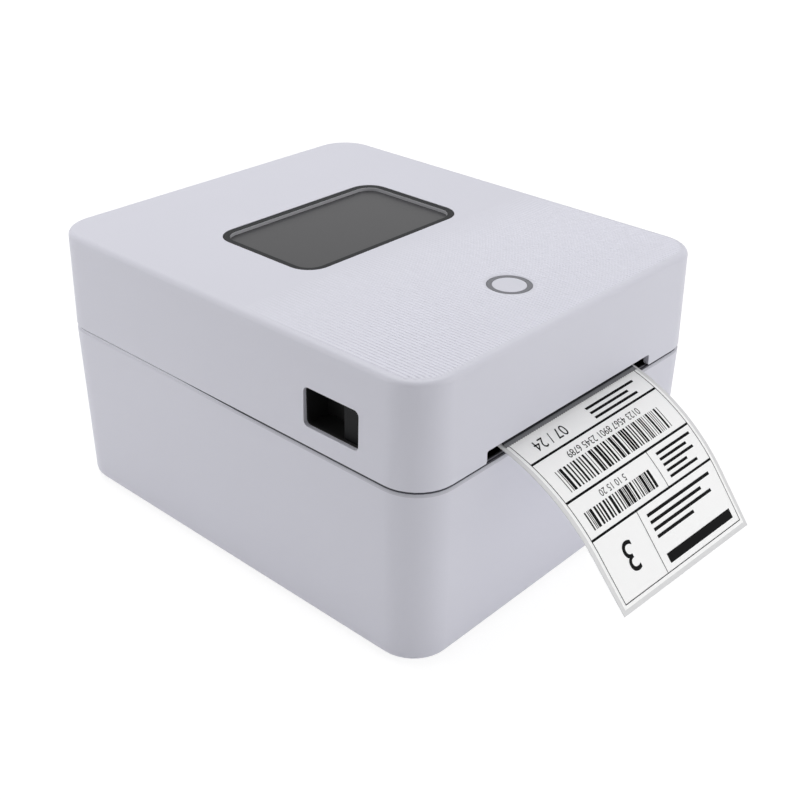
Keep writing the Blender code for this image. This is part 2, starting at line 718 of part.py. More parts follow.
def make_lower_case(base):
    sections = lower_fillet(0, BASE_TAPER, BOTTOM_FILLET) + upper_fillet(BASE_TOP, 0, BASE_EDGE_ROUND)
    cavity = case_solid([(RIM_TOP, WALL + base_inset(RIM_TOP)), (BASE_TOP + BEYOND, WALL)])
    rim_hole = case_solid([(-BEYOND, RIM_INSET), (RIM_TOP + OVERLAP, RIM_INSET)])
    rabbet = case_solid([(-BEYOND, RABBET_INSET), (RABBET_HEIGHT, RABBET_INSET)])
    openings = [rear_opening(USB_X, USB_WIDTH, USB_HEIGHT), rear_opening(JACK_X, JACK_WIDTH, JACK_HEIGHT),
                rear_opening(SWITCH_X, SWITCH_WIDTH, SWITCH_HEIGHT)]
    ears = [prism("X", ear_outline(), *sorted((side * EAR_X, side * (EAR_X + EAR_WIDTH))))
            for side, _ in SIDES]
    piece("lower_case", "shell", base, case_solid(sections),
          cuts(cavity, rim_hole, rabbet, *openings) + joins(*ears) + cuts(*hinge_bores()))
    for side, name in SIDES:
        ends = sorted((side * (EAR_X + SEAT), side * (KNUCKLE_X + EAR_WIDTH - SEAT)))
        piece(f"hinge_pin_{name}", "steel", base, rod("X", (HINGE_Y, HINGE_Z), HINGE_PIN_RADIUS, *ends,
                                                      FACETS_SMALL))


def make_screw(name, frame, place, neck):
    """A screw that points up, with its head under the height neck."""
    low = neck - SCREW_HEAD_HEIGHT
    profile = [(0, low), (SCREW_HEAD_RADIUS, low), (SCREW_HEAD_RADIUS, neck), (SCREW_RADIUS, neck),
               (SCREW_RADIUS, neck + SCREW_LENGTH), (0, neck + SCREW_LENGTH)]
    slot = box((place[0] - SCREW_SLOT_LENGTH / 2, place[1] - SCREW_SLOT_WIDTH / 2, low - BEYOND),
               (place[0] + SCREW_SLOT_LENGTH / 2, place[1] + SCREW_SLOT_WIDTH / 2, low + SCREW_SLOT_DEPTH))
    piece(name, "steel", frame, turned("Z", place, profile, FACETS_SMALL), cuts(slot))


def make_bottom(base):
    neck = PLATE_RECESS + SCREW_SINK + SCREW_HEAD_HEIGHT
    head_bore = SCREW_HEAD_RADIUS + BORE_GAP
    shank_bore = SCREW_RADIUS + BORE_GAP
    holes = []
    for end_y, end in ((-1, "front"), (1, "rear")):
        for side, name in SIDES:
            foot = (side * FOOT_X, end_y * FOOT_Y)
            piece(f"foot_{end}_{name}", "rubber", base,
                  rod("Z", foot, FOOT_RADIUS, -FOOT_HEIGHT, PLATE_RECESS - SEAT, FACETS_LARGE))
            post = (side * POST_X, end_y * POST_Y)
            make_screw(f"bottom_screw_{end}_{name}", base, post, neck)
            holes.append(turned("Z", post, [
                (0, -BEYOND), (head_bore, -BEYOND), (head_bore, neck + SEAT), (shank_bore, neck + SEAT),
                (shank_bore, BEYOND), (0, BEYOND)], FACETS_SMALL))
    plate = prism("Z", case_outline(RABBET_INSET + RUN), PLATE_RECESS, PLATE_TOP)
    piece("bottom_plate", "shell", base, plate, cuts(*holes))


def make_rear_sockets(base):
    board = box((BOARD_LEFT, BOARD_FACE - BOARD_THICKNESS, PLATE_TOP + SEAT),
                (BOARD_RIGHT, BOARD_FACE, BOARD_TOP))
    piece("main_board", "circuit", base, board)
    start = BOARD_FACE + SEAT
    mouth = SOCKET_END - MOUTH_DEPTH
    outside = REAR + BEYOND
    piece("usb_socket", "steel", base, rear_block(USB_X, USB_WIDTH, USB_HEIGHT, start, SOCKET_END),
          cuts(rear_block(USB_X, USB_MOUTH_WIDTH, USB_MOUTH_HEIGHT, mouth, outside))
          + joins(rear_block(USB_X, USB_TONGUE_WIDTH, USB_TONGUE_HEIGHT, mouth - OVERLAP,
                             SOCKET_END - OVERLAP)))
    jack = (JACK_X, SOCKET_Z)
    piece("power_jack", "black", base, rear_block(JACK_X, JACK_WIDTH, JACK_HEIGHT, start, SOCKET_END),
          cuts(rod("Y", jack, JACK_MOUTH_RADIUS, mouth, outside))
          + joins(rod("Y", jack, JACK_PIN_RADIUS, mouth - OVERLAP, SOCKET_END - OVERLAP, FACETS_SMALL)))
    back = SOCKET_END - SWITCH_DEPTH
    piece("switch_housing", "black", base,
          rear_block(SWITCH_X, SWITCH_WIDTH, SWITCH_HEIGHT, back, SOCKET_END),
          cuts(rear_block(SWITCH_X, SWITCH_WIDTH - 2 * SWITCH_WALL, SWITCH_HEIGHT - 2 * SWITCH_WALL,
                          back + SWITCH_WALL, outside)))


def make_power_rocker(base):
    """The rocker turns on a cross axis just inside its housing. At rest one half is pressed in."""
    pivot = Vector((SOCKET_END - ROCKER_REACH, SOCKET_Z))
    axis = empty("rocker_axis", (SWITCH_X, *pivot), base)
    half = SWITCH_WIDTH / 2 - SWITCH_WALL - RUN
    corners = [(ROCKER_REACH, ROCKER_HALF_HEIGHT), (-ROCKER_HEEL, ROCKER_HALF_HEIGHT),
               (-ROCKER_HEEL, -ROCKER_HALF_HEIGHT), (ROCKER_REACH, -ROCKER_HALF_HEIGHT), (ROCKER_VALLEY, 0)]
    turn = Matrix.Rotation(ROCKER_TILT, 2)
    outline = [turn @ Vector(corner) + pivot for corner in corners]
    piece("power_rocker", "dark", axis, prism("X", outline, SWITCH_X - half, SWITCH_X + half))


# Media tray, web guide and latch strikes

def well_wall_rise(side, front, rear, top):
    """A length of the well's side wall that stands up above the deck."""
    return box((side * (WELL_HALF_WIDTH - OVERLAP), front, DECK_TOP - OVERLAP),
               (side * (WELL_HALF_WIDTH + WELL_WALL), rear, top))


def latch_hole(side):
    """The deck's opening for a latch hook and its travel."""
    return box((side * HOLE_INNER, ARM_FRONT - LATCH_TRAVEL - 2 * RUN, DECK_LOW - OVERLAP),
               (side * HOLE_OUTER, ARM_REAR + HOOK_LENGTH + 2 * RUN, CASE_HEIGHT))


def ear_notch(side):
    return box((side * (EAR_X - RUN), HINGE_Y - EAR_RADIUS - RUN, DECK_LOW - OVERLAP),
               (side * (EAR_X + EAR_WIDTH + RUN), REAR, CASE_HEIGHT))


def make_media_tray(base):
    deck = prism("Z", case_outline(WALL + base_inset(DECK_LOW) + RUN), DECK_LOW, DECK_TOP)
    well_outer = box((-WELL_HALF_WIDTH - WELL_WALL, WELL_FRONT - WELL_WALL, WELL_LOW),
                     (WELL_HALF_WIDTH + WELL_WALL, WELL_REAR + WELL_WALL, DECK_LOW + OVERLAP))
    well = box((-WELL_HALF_WIDTH, WELL_FRONT, WELL_FLOOR), (WELL_HALF_WIDTH, WELL_REAR, CASE_HEIGHT))
    rib_top = web_height(RIB_FRONT) - WEB_CLEARANCE
    rises = []
    for side, _ in SIDES:
        rises.append(well_wall_rise(side, PLATEN_Y - CARRIER_HALF_DEPTH, PLATEN_Y + CARRIER_HALF_DEPTH,
                                    PLATEN_Z + CARRIER_RISE))
        rises.append(well_wall_rise(side, RIB_FRONT + OVERLAP, RIB_REAR - OVERLAP, rib_top - OVERLAP))
    rib = box((-WELL_HALF_WIDTH - OVERLAP, RIB_FRONT, rib_top - RIB_THICKNESS),
              (WELL_HALF_WIDTH + OVERLAP, RIB_REAR, rib_top))
    corners = [(x * POST_X, y * POST_Y) for x in (-1, 1) for y in (-1, 1)]
    posts = [rod("Z", corner, POST_RADIUS, PLATE_TOP + SEAT, DECK_TOP - OVERLAP) for corner in corners]
    pilot_top = PLATE_RECESS + SCREW_SINK + SCREW_HEAD_HEIGHT + SCREW_LENGTH + SEAT
    pilots = [rod("Z", corner, SCREW_RADIUS + BORE_GAP, 0, pilot_top, FACETS_SMALL)
              for corner in corners]
    stud = rod("Z", (0, ROLL_AXIS_Y), PINION_STUD_RADIUS, WELL_FLOOR - OVERLAP, RACK_LOW + RACK_HEIGHT,
               FACETS_SMALL)
    bush_bore = rod("X", (PLATEN_Y, PLATEN_Z), BUSH_RADIUS + BORE_GAP, -CASE_WIDTH, CASE_WIDTH)
    platen, idler, _ = gear_places()
    idler_reach = MODULE * (IDLER_TEETH / 2 + 1) + 2 * RUN
    platen_reach = MODULE * (PLATEN_GEAR_TEETH / 2 + 1) + 2 * RUN
    slot_front = min(idler.x - idler_reach, platen.x - platen_reach)
    gear_slot = box((GEAR_FAR - 2 * RUN, slot_front, DECK_LOW - OVERLAP),
                    (GEAR_NEAR + 2 * RUN, idler.x + idler_reach, CASE_HEIGHT))
    sensor_half = (SENSOR_WIDTH / 2 + SEAT, SENSOR_DEPTH / 2 + SEAT)
    sensor_pocket = box((-sensor_half[0], RIB_MIDDLE - sensor_half[1], rib_top - SENSOR_HEIGHT - SEAT),
                        (sensor_half[0], RIB_MIDDLE + sensor_half[1], CASE_HEIGHT))
    openings = [gear_slot]
    for side, _ in SIDES:
        openings += [latch_hole(side), ear_notch(side)]
    piece("media_tray", "frame", base, deck,
          joins(well_outer, *posts, *rises) + cuts(well, *openings, *pilots, bush_bore)
          + joins(rib, stud) + cuts(sensor_pocket))
    sensor = box((-SENSOR_WIDTH / 2, RIB_MIDDLE - SENSOR_DEPTH / 2, rib_top - SENSOR_HEIGHT),
                 (SENSOR_WIDTH / 2, RIB_MIDDLE + SENSOR_DEPTH / 2, rib_top))
    piece("media_sensor", "dark", base, sensor)


def make_strikes(base):
    """Steel staples on the deck that the latch hooks catch under."""
    inner = HOLE_INNER - RUN
    outer = HOLE_OUTER + RUN
    bar_low = HOOK_TOP + RUN
    bar_top = bar_low + STRIKE_THICKNESS
    for side, name in SIDES:
        outline = [(inner - STRIKE_THICKNESS, STRIKE_LOW), (inner, STRIKE_LOW), (inner, bar_low),
                   (outer, bar_low), (outer, STRIKE_LOW), (outer + STRIKE_THICKNESS, STRIKE_LOW),
                   (outer + STRIKE_THICKNESS, bar_top), (inner - STRIKE_THICKNESS, bar_top)]
        staple = prism("Y", [(side * x, z) for x, z in outline], STRIKE_FRONT, STRIKE_FRONT + STRIKE_DEPTH)
        piece(f"latch_strike_{name}", "steel", base, staple)


# Feed drive: motor, gears and platen

def gear_places():
    """Axes of the platen gear, the idler and the motor pinion, as (y, z)."""
    platen = Vector((PLATEN_Y, PLATEN_Z))
    near = MODULE * (PLATEN_GEAR_TEETH + IDLER_TEETH) / 2
    idler = platen + near * Vector((math.cos(IDLER_DIRECTION), math.sin(IDLER_DIRECTION)))
    far = MODULE * (IDLER_TEETH + MOTOR_PINION_TEETH) / 2
    motor = idler + far * Vector((math.cos(MOTOR_DIRECTION), math.sin(MOTOR_DIRECTION)))
    return platen, idler, motor


def make_motor(base):
    """The motor fills the bay between its bracket and the case's side wall."""
    _, idler, motor = gear_places()
    face = GEAR_FAR - BRACKET_GAP
    back = face - BRACKET_THICKNESS
    top = DECK_LOW - SEAT
    half = MOTOR_SIDE / 2
    stud_margin = IDLER_STUD_RADIUS + BRACKET_MARGIN
    plate = box((back, idler.x - stud_margin, motor.y - half), (face, motor.x + half, top))
    flange_front = idler.x + MODULE * (IDLER_TEETH / 2 + 1) + 2 * RUN
    flange = box((back, flange_front, top - BRACKET_THICKNESS), (face + FLANGE_WIDTH, motor.x + half, top))
    stud = rod("X", idler, IDLER_STUD_RADIUS, back + SEAT, GEAR_NEAR + RUN, FACETS_SMALL)
    shaft_hole = rod("X", motor, MOTOR_SHAFT_RADIUS + RUN, back - BEYOND, face + OVERLAP)
    piece("motor_bracket", "steel", base, plate, joins(flange, stud) + cuts(shaft_hole))
    outline = rounded((motor.x - half, motor.y - half), (motor.x + half, motor.y + half), MOTOR_CHAMFER, 1)
    end = -(HALF_WIDTH - WALL - BASE_TAPER - MOTOR_WALL_GAP)
    body = prism("X", outline, end, back - SEAT)
    shaft_bore = rod("X", motor, MOTOR_SHAFT_RADIUS + BORE_GAP, back - MOTOR_SHAFT_DEPTH - SEAT, face)
    piece("stepper_motor", "steel", base, body, cuts(shaft_bore))


def make_gears(base):
    platen, idler, motor = gear_places()
    platen_axis = empty("platen_axis", (0, *platen), base)
    idler_axis = empty("idler_axis", (0, *idler), base)
    motor_axis = empty("motor_axis", (0, *motor), base)
    idler_phase = meshing_phase(0, PLATEN_GEAR_TEETH, IDLER_DIRECTION, IDLER_TEETH)
    pinion_phase = meshing_phase(idler_phase, IDLER_TEETH, MOTOR_DIRECTION, MOTOR_PINION_TEETH)
    piece("platen_gear", "gear", platen_axis,
          prism("X", gear_outline(PLATEN_GEAR_TEETH, 0, platen), GEAR_FAR, GEAR_NEAR),
          cuts(rod("X", platen, PLATEN_SHAFT_RADIUS + BORE_GAP, -CASE_WIDTH, 0)))
    piece("idler_gear", "gear", idler_axis,
          prism("X", gear_outline(IDLER_TEETH, idler_phase, idler), GEAR_FAR, GEAR_NEAR),
          cuts(rod("X", idler, IDLER_STUD_RADIUS + BORE_GAP, -CASE_WIDTH, 0, FACETS_SMALL)))
    shaft_end = GEAR_FAR - BRACKET_GAP - BRACKET_THICKNESS - MOTOR_SHAFT_DEPTH
    piece("motor_pinion", "steel", motor_axis,
          prism("X", gear_outline(MOTOR_PINION_TEETH, pinion_phase, motor), GEAR_FAR, GEAR_NEAR),
          joins(rod("X", motor, MOTOR_SHAFT_RADIUS, shaft_end, GEAR_NEAR - OVERLAP)))
    bore = PLATEN_SHAFT_RADIUS + BORE_GAP
    outside = WELL_HALF_WIDTH + WELL_WALL
    piece("platen_rubber", "rubber", platen_axis,
          tube("X", platen, bore, PLATEN_RADIUS, -PLATEN_HALF, PLATEN_HALF))
    piece("platen_shaft", "steel", platen_axis,
          rod("X", platen, PLATEN_SHAFT_RADIUS, GEAR_FAR - RUN, outside + RUN))
    seat = WELL_HALF_WIDTH - SEAT
    flange = seat - BUSH_FLANGE_THICKNESS
    for side, name in SIDES:
        profile = [(bore, flange), (BUSH_FLANGE_RADIUS, flange), (BUSH_FLANGE_RADIUS, seat),
                   (BUSH_RADIUS, seat), (BUSH_RADIUS, outside), (bore, outside)]
        bush = turned("X", platen, [(radius, side * along) for radius, along in profile], FACETS)
        piece(f"platen_bush_{name}", "gear", base, bush)


# Media: roll, web and guides

def make_media(base):
    centre = (ROLL_AXIS_Y, ROLL_AXIS_Z)
    axis = empty("roll_axis", (0, *centre), base)
    piece("label_roll", "paper", axis,
          tube("X", centre, CORE_RADIUS + BORE_GAP, ROLL_RADIUS, -ROLL_HALF, ROLL_HALF))
    piece("roll_core", "board", axis, tube("X", centre, CORE_BORE, CORE_RADIUS, -ROLL_HALF, ROLL_HALF))
    piece("label_strip", "paper", base, prism("X", web_outline(), -ROLL_HALF, ROLL_HALF))


def rack_outline(side):
    """A rack on the pinion, from past the pinion's axis to the guide plate of its own side."""
    pitch = math.pi * MODULE
    tip = PINION_PITCH_RADIUS - MODULE
    root = PINION_PITCH_RADIUS + DEDENDUM
    half = pitch / 4 - BACKLASH / 2
    lean = math.tan(PRESSURE_ANGLE)
    half_tip = half - MODULE * lean
    half_root = half + DEDENDUM * lean
    count = int(RACK_REACH / pitch)
    points = [(-RACK_REACH, root)]
    for tooth in range(-count, count):
        middle = (tooth + 0.5) * pitch
        points += [(middle - half_root, root), (middle - half_tip, tip),
                   (middle + half_tip, tip), (middle + half_root, root)]
    plate = GUIDE_FACE + OVERLAP
    points += [(plate, root), (plate, root + RACK_DEPTH), (-RACK_REACH, root + RACK_DEPTH)]
    return [(side * x, ROLL_AXIS_Y - side * away) for x, away in points]


def make_guides(base):
    centre = (ROLL_AXIS_Y, ROLL_AXIS_Z)
    rack_top = RACK_LOW + RACK_HEIGHT
    head = arc(centre, GUIDE_HEAD_RADIUS, -GUIDE_LEAN, math.pi + GUIDE_LEAN, FACETS_SMALL)
    plate = [(ROLL_AXIS_Y - GUIDE_FOOT_HALF, RACK_LOW), (ROLL_AXIS_Y + GUIDE_FOOT_HALF, RACK_LOW), *head]
    for side, name in SIDES:
        slide = empty(f"guide_{name}_slide", (side * GUIDE_FACE, *centre), base)
        faces = sorted((side * GUIDE_FACE, side * (GUIDE_FACE + GUIDE_THICKNESS)))
        hub_ends = sorted((side * (GUIDE_FACE - HUB_LENGTH), side * (GUIDE_FACE + OVERLAP)))
        piece(f"media_guide_{name}", "frame", slide, prism("X", plate, *faces),
              joins(rod("X", centre, CORE_BORE - RUN, *hub_ends),
                    prism("Z", rack_outline(side), RACK_LOW, rack_top)))
    axis = empty("guide_pinion_axis", (0, ROLL_AXIS_Y, RACK_LOW), base)
    outline = gear_outline(GUIDE_PINION_TEETH, -math.pi / 2, (0, ROLL_AXIS_Y))
    piece("guide_pinion", "gear", axis, prism("Z", outline, RACK_LOW, rack_top),
          cuts(rod("Z", (0, ROLL_AXIS_Y), PINION_STUD_RADIUS + BORE_GAP, 0, CASE_HEIGHT, FACETS_SMALL)))


# Lid: cover, window, button, inner cover, tear bar

def knuckle_outline():
    wall = REAR - WALL
    neck = HINGE_Z + EAR_RADIUS / 2
    top = HINGE_Z + KNUCKLE_RISE
    head = arc((HINGE_Y, HINGE_Z), EAR_RADIUS, math.pi, math.tau, EAR_STEPS)
    return [(wall + OVERLAP, top), (HINGE_Y - EAR_RADIUS, top), *head, (HINGE_Y + EAR_RADIUS, neck),
            (wall + OVERLAP, neck)]


def window_outline(grow):
    """The window's outline, grown by a width on every side."""
    return rounded((-WINDOW_HALF_WIDTH - grow, WINDOW_FRONT - grow),
                   (WINDOW_HALF_WIDTH + grow, WINDOW_REAR + grow), WINDOW_CORNER + grow, CORNER_STEPS)


def slot_outline():
    """The label slot in the lid's front wall: flared at the seam, with small round upper corners."""
    flare = arc((SLOT_HALF_WIDTH + SLOT_FLARE, LID_LOW + SLOT_FLARE), SLOT_FLARE,
                -math.pi / 2, -math.pi, FILLET_STEPS)
    corner = arc((SLOT_HALF_WIDTH - SLOT_CORNER, SLOT_TOP - SLOT_CORNER), SLOT_CORNER,
                 0, math.pi / 2, FILLET_STEPS)
    right = [(SLOT_HALF_WIDTH + SLOT_FLARE, LID_LOW - BEYOND), *flare, *corner]
    return right + [(-x, z) for x, z in reversed(right)]


def make_upper_cover(lid):
    lower_edge = [(LID_LOW, LID_EDGE), (LID_LOW + LID_EDGE, 0)]
    sections = lower_edge + upper_fillet(CASE_HEIGHT, LID_TAPER, TOP_FILLET)
    ceiling = CASE_HEIGHT - WALL
    cavity = case_solid([(LID_LOW - BEYOND, WALL), (ceiling, WALL + LID_TAPER)])
    window = prism("Z", window_outline(0), ceiling - BEYOND, CASE_HEIGHT + BEYOND)
    button = rod("Z", (0, BUTTON_Y), RING_RADIUS + BORE_GAP, ceiling - BEYOND, CASE_HEIGHT + BEYOND,
                 FACETS_LARGE)
    slot = prism("Y", slot_outline(), FRONT - BEYOND, FRONT + WALL + LID_TAPER + OVERLAP)
    notch = box((-CASE_WIDTH, HINGE_Y, LID_LOW - BEYOND), (CASE_WIDTH, REAR + BEYOND, HINGE_Z + SEAT))
    recesses = []
    knuckles = []
    bosses = []
    pilots = []
    inner_top = inner_cover_low() + INNER_THICKNESS
    recess = rounded((RECESS_FRONT, RECESS_LOW), (RECESS_REAR, RECESS_HIGH), RECESS_CORNER)
    inside = HALF_WIDTH - LID_TAPER - WALL - OVERLAP
    for side, _ in SIDES:
        through = sorted((side * inside, side * (HALF_WIDTH + BEYOND)))
        recesses.append(prism("X", recess, *through))
        ends = sorted((side * KNUCKLE_X, side * (KNUCKLE_X + EAR_WIDTH)))
        knuckles.append(prism("X", knuckle_outline(), *ends))
        boss = (side * BOSS_X, BOSS_Y)
        bosses.append(rod("Z", boss, BOSS_RADIUS, inner_top + SEAT, ceiling + OVERLAP))
        pilots.append(rod("Z", boss, SCREW_RADIUS + BORE_GAP, inner_top - BEYOND,
                          inner_cover_low() + SCREW_LENGTH, FACETS_SMALL))
    piece("upper_cover", "shell", lid, case_solid(sections),
          cuts(cavity, window, button, slot, notch, *recesses) + joins(*knuckles, *bosses)
          + cuts(*hinge_bores(), *pilots))


def make_window(lid):
    top = CASE_HEIGHT - FLUSH
    flange_top = CASE_HEIGHT - WALL - SEAT
    inner = -BEZEL_GAP - BEZEL_WIDTH
    low = CASE_HEIGHT - BEZEL_DEPTH
    pane_top = CASE_HEIGHT - PANE_DROP
    flange = prism("Z", window_outline(BEZEL_FLANGE), flange_top - BEZEL_FLANGE_THICKNESS, flange_top)
    opening = prism("Z", window_outline(inner), low - BEYOND, top + BEYOND)
    rabbet = prism("Z", window_outline(inner + PANE_LAP + SEAT), low - BEYOND, pane_top)
    piece("window_bezel", "dark", lid, prism("Z", window_outline(-BEZEL_GAP), low, top),
          joins(flange) + cuts(opening, rabbet))
    piece("window_pane", "smoked", lid,
          prism("Z", window_outline(inner + PANE_LAP), pane_top - SEAT - PANE_THICKNESS, pane_top - SEAT))


def make_button(lid):
    """The button slides in its light ring, and stands off the switch by its travel. The board lies under
    the inner cover, behind the print head."""
    place = (0, BUTTON_Y)
    board_top = inner_cover_low() - SEAT
    board_front = nip_point()[1] + HEAD_REAR + SEAT
    body_top = board_top + SEAT + SWITCH_BODY
    plunger_top = body_top + PLUNGER_HEIGHT
    top = CASE_HEIGHT - FLUSH
    piece("button_board", "circuit", lid,
          box((-BUTTON_BOARD_HALF, board_front, board_top - BOARD_THICKNESS),
              (BUTTON_BOARD_HALF, BUTTON_Y + BUTTON_BOARD_HALF, board_top)))
    half = TACT_SIDE / 2
    piece("tact_switch", "black", lid,
          box((-half, BUTTON_Y - half, board_top + SEAT), (half, BUTTON_Y + half, body_top)),
          joins(rod("Z", place, PLUNGER_RADIUS, body_top - OVERLAP, plunger_top, FACETS_SMALL)))
    piece("led_ring", "ring", lid, tube("Z", place, BUTTON_RADIUS + SEAT, RING_RADIUS, board_top + SEAT, top))
    axis = empty("feed_button_slide", (*place, top), lid)
    stem_low = plunger_top + BUTTON_TRAVEL + SEAT
    disc_low = top - BUTTON_THICKNESS
    piece("feed_button", "shell", axis,
          turned("Z", place, [(0, stem_low), (BUTTON_STEM_RADIUS, stem_low), (BUTTON_STEM_RADIUS, disc_low),
                              (BUTTON_RADIUS, disc_low), (BUTTON_RADIUS, top), (0, top)], FACETS_LARGE))


def make_inner_cover(lid):
    low = inner_cover_low()
    top = low + INNER_THICKNESS
    outline = rounded((-INNER_HALF_WIDTH, INNER_FRONT), (INNER_HALF_WIDTH, INNER_REAR), INNER_CORNER)
    plate = prism("Z", outline, low, top)
    window = prism("Z", window_outline(INNER_WINDOW_MARGIN), low - BEYOND, top + BEYOND)
    holes = [rod("Z", (0, BUTTON_Y), RING_RADIUS + RUN, low - BEYOND, top + BEYOND, FACETS_LARGE)]
    for side, name in SIDES:
        boss = (side * BOSS_X, BOSS_Y)
        holes.append(rod("Z", boss, SCREW_RADIUS + BORE_GAP, low - BEYOND, top + BEYOND, FACETS_SMALL))
        make_screw(f"lid_screw_{name}", lid, boss, low - SEAT)
    piece("inner_cover", "frame", lid, plate, cuts(window, *holes))


def make_tear_bar(lid):
    """A serrated steel strip behind the lid's front wall, just above the label."""
    front = FRONT + WALL + LID_TAPER + SEAT
    low = web_height(front + TEAR_THICKNESS) + WEB_THICKNESS + TEAR_CLEARANCE
    top = low + TEAR_HEIGHT
    pitch = 2 * SLOT_HALF_WIDTH / TEAR_TEETH
    edge = []
    for tooth in range(TEAR_TEETH):
        start = -SLOT_HALF_WIDTH + tooth * pitch
        edge += [(start, low + TEAR_TOOTH), (start + pitch / 2, low)]
    edge.append((SLOT_HALF_WIDTH, low + TEAR_TOOTH))
    outline = edge + [(SLOT_HALF_WIDTH, top), (-SLOT_HALF_WIDTH, top)]
    piece("tear_bar", "blackened", lid, prism("Y", outline, front, front + TEAR_THICKNESS))


# Print head, drawn in its own frame: y along the web, z away from it

def make_print_head(lid):
    head = empty("print_head_slide", nip_point(), lid, NIP_TILT)
    bridge_frame = empty("head_bridge_frame", nip_point(), lid, NIP_TILT)
    piece("print_head_ceramic", "ceramic", head,
          box((-CERAMIC_HALF_WIDTH, -CERAMIC_HALF_DEPTH, SEAT),
              (CERAMIC_HALF_WIDTH, CERAMIC_HALF_DEPTH, SEAT + CERAMIC_THICKNESS)))
    fin = (HEAD_REAR - HEAD_FRONT - (FIN_COUNT - 1) * FIN_GROOVE) / FIN_COUNT
    comb = [(HEAD_FRONT, HEAD_LOW), (HEAD_REAR, HEAD_LOW), (HEAD_REAR, HEAD_TOP)]
    for groove in range(FIN_COUNT - 1):
        rear = HEAD_REAR - fin - groove * (fin + FIN_GROOVE)
        front = rear - FIN_GROOVE
        floor = HEAD_TOP - FIN_DEPTH
        comb += [(rear, HEAD_TOP), (rear, floor), (front, floor), (front, HEAD_TOP)]
    comb.append((HEAD_FRONT, HEAD_TOP))
    piece("print_head_heatsink", "aluminium", head, prism("X", comb, -HEAD_HALF_WIDTH, HEAD_HALF_WIDTH))
    inner = HEAD_HALF_WIDTH + RUN
    outer = inner + BRIDGE_THICKNESS
    bridge = [(-outer, BRIDGE_SKIRT), (-inner, BRIDGE_SKIRT), (-inner, BRIDGE_LOW), (inner, BRIDGE_LOW),
              (inner, BRIDGE_SKIRT), (outer, BRIDGE_SKIRT), (outer, BRIDGE_TOP), (-outer, BRIDGE_TOP)]
    piece("head_bridge", "steel", bridge_frame, prism("Y", bridge, HEAD_FRONT, HEAD_REAR))
    middle = (HEAD_FRONT + HEAD_REAR) / 2
    for side, name in SIDES:
        place = (side * HEAD_SPRING_X, middle)
        spring(f"head_spring_{name}", bridge_frame, (*place, HEAD_TOP + SEAT), (*place, BRIDGE_LOW - SEAT),
               HEAD_SPRING_RADIUS, HEAD_SPRING_WIRE_RADIUS, HEAD_SPRING_TURNS)


# Side latches

def make_latches(lid):
    for side, name in SIDES:
        shell = box((side * POCKET_INNER, POCKET_FRONT - POCKET_WALL, POCKET_LOW - POCKET_WALL),
                    (side * POCKET_OUTER, POCKET_REAR + POCKET_WALL, POCKET_HIGH + POCKET_WALL))
        inside = box((side * (POCKET_INNER + POCKET_WALL), POCKET_FRONT, POCKET_LOW),
                     (side * (POCKET_OUTER + BEYOND), POCKET_REAR, POCKET_HIGH))
        floor_slot = box((side * HOLE_INNER, ARM_FRONT - LATCH_TRAVEL - 2 * RUN, POCKET_LOW - BEYOND),
                         (side * HOLE_OUTER, ARM_REAR + 2 * RUN, POCKET_LOW + OVERLAP))
        piece(f"latch_pocket_{name}", "black", lid, shell, cuts(inside, floor_slot))
        slide = empty(f"latch_{name}_slide", (side * LATCH_ARM_INNER, PAD_FRONT, POCKET_LOW), lid)
        pad = box((side * LATCH_PAD_INNER, PAD_FRONT, POCKET_LOW + RUN),
                  (side * LATCH_PAD_OUTER, PAD_REAR, POCKET_HIGH - RUN))
        arm = box((side * LATCH_ARM_INNER, ARM_FRONT, HOOK_LOW),
                  (side * LATCH_ARM_OUTER, ARM_REAR, POCKET_LOW + RUN + OVERLAP))
        hook = box((side * LATCH_ARM_INNER, ARM_REAR - OVERLAP, HOOK_LOW),
                   (side * LATCH_ARM_OUTER, ARM_REAR + HOOK_LENGTH, HOOK_TOP))
        piece(f"latch_{name}", "dark", slide, pad, joins(arm, hook))
        x = side * (LATCH_PAD_INNER + LATCH_PAD_OUTER) / 2
        z = (POCKET_LOW + POCKET_HIGH) / 2
        spring(f"latch_spring_{name}", lid, (x, POCKET_FRONT + SEAT, z), (x, PAD_FRONT - SEAT, z),
               LATCH_SPRING_RADIUS, LATCH_SPRING_WIRE_RADIUS, LATCH_SPRING_TURNS)


def main():
    label_end = min(y for y, _ in web_outline())
    printer = empty("printer", (0, 0, 0))
    printer.location = (0, -(label_end + REAR) / 2, FOOT_HEIGHT)
    base = empty("base", (0, 0, 0), printer)
    make_lower_case(base)
    make_bottom(base)
    make_rear_sockets(base)
    make_power_rocker(base)
    make_media_tray(base)
    make_strikes(base)
    make_motor(base)
    make_gears(base)
    make_media(base)
    make_guides(base)
    lid = empty("lid_hinge", (0, HINGE_Y, HINGE_Z), base)
    make_upper_cover(lid)
    make_window(lid)
    make_button(lid)
    make_inner_cover(lid)
    make_tear_bar(lid)
    make_print_head(lid)
    make_latches(lid)


if __name__ == "__main__":
    main()
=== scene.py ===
"""Looks of a desktop thermal label printer on its CAD frame: moulded shells with a ribbed lid, a smoked
window, a feed button, side latches, a printed label on its liner, and the finishes of everything inside."""

import functools
import json
import math

import bmesh
import bpy
from mathutils import Matrix, Vector

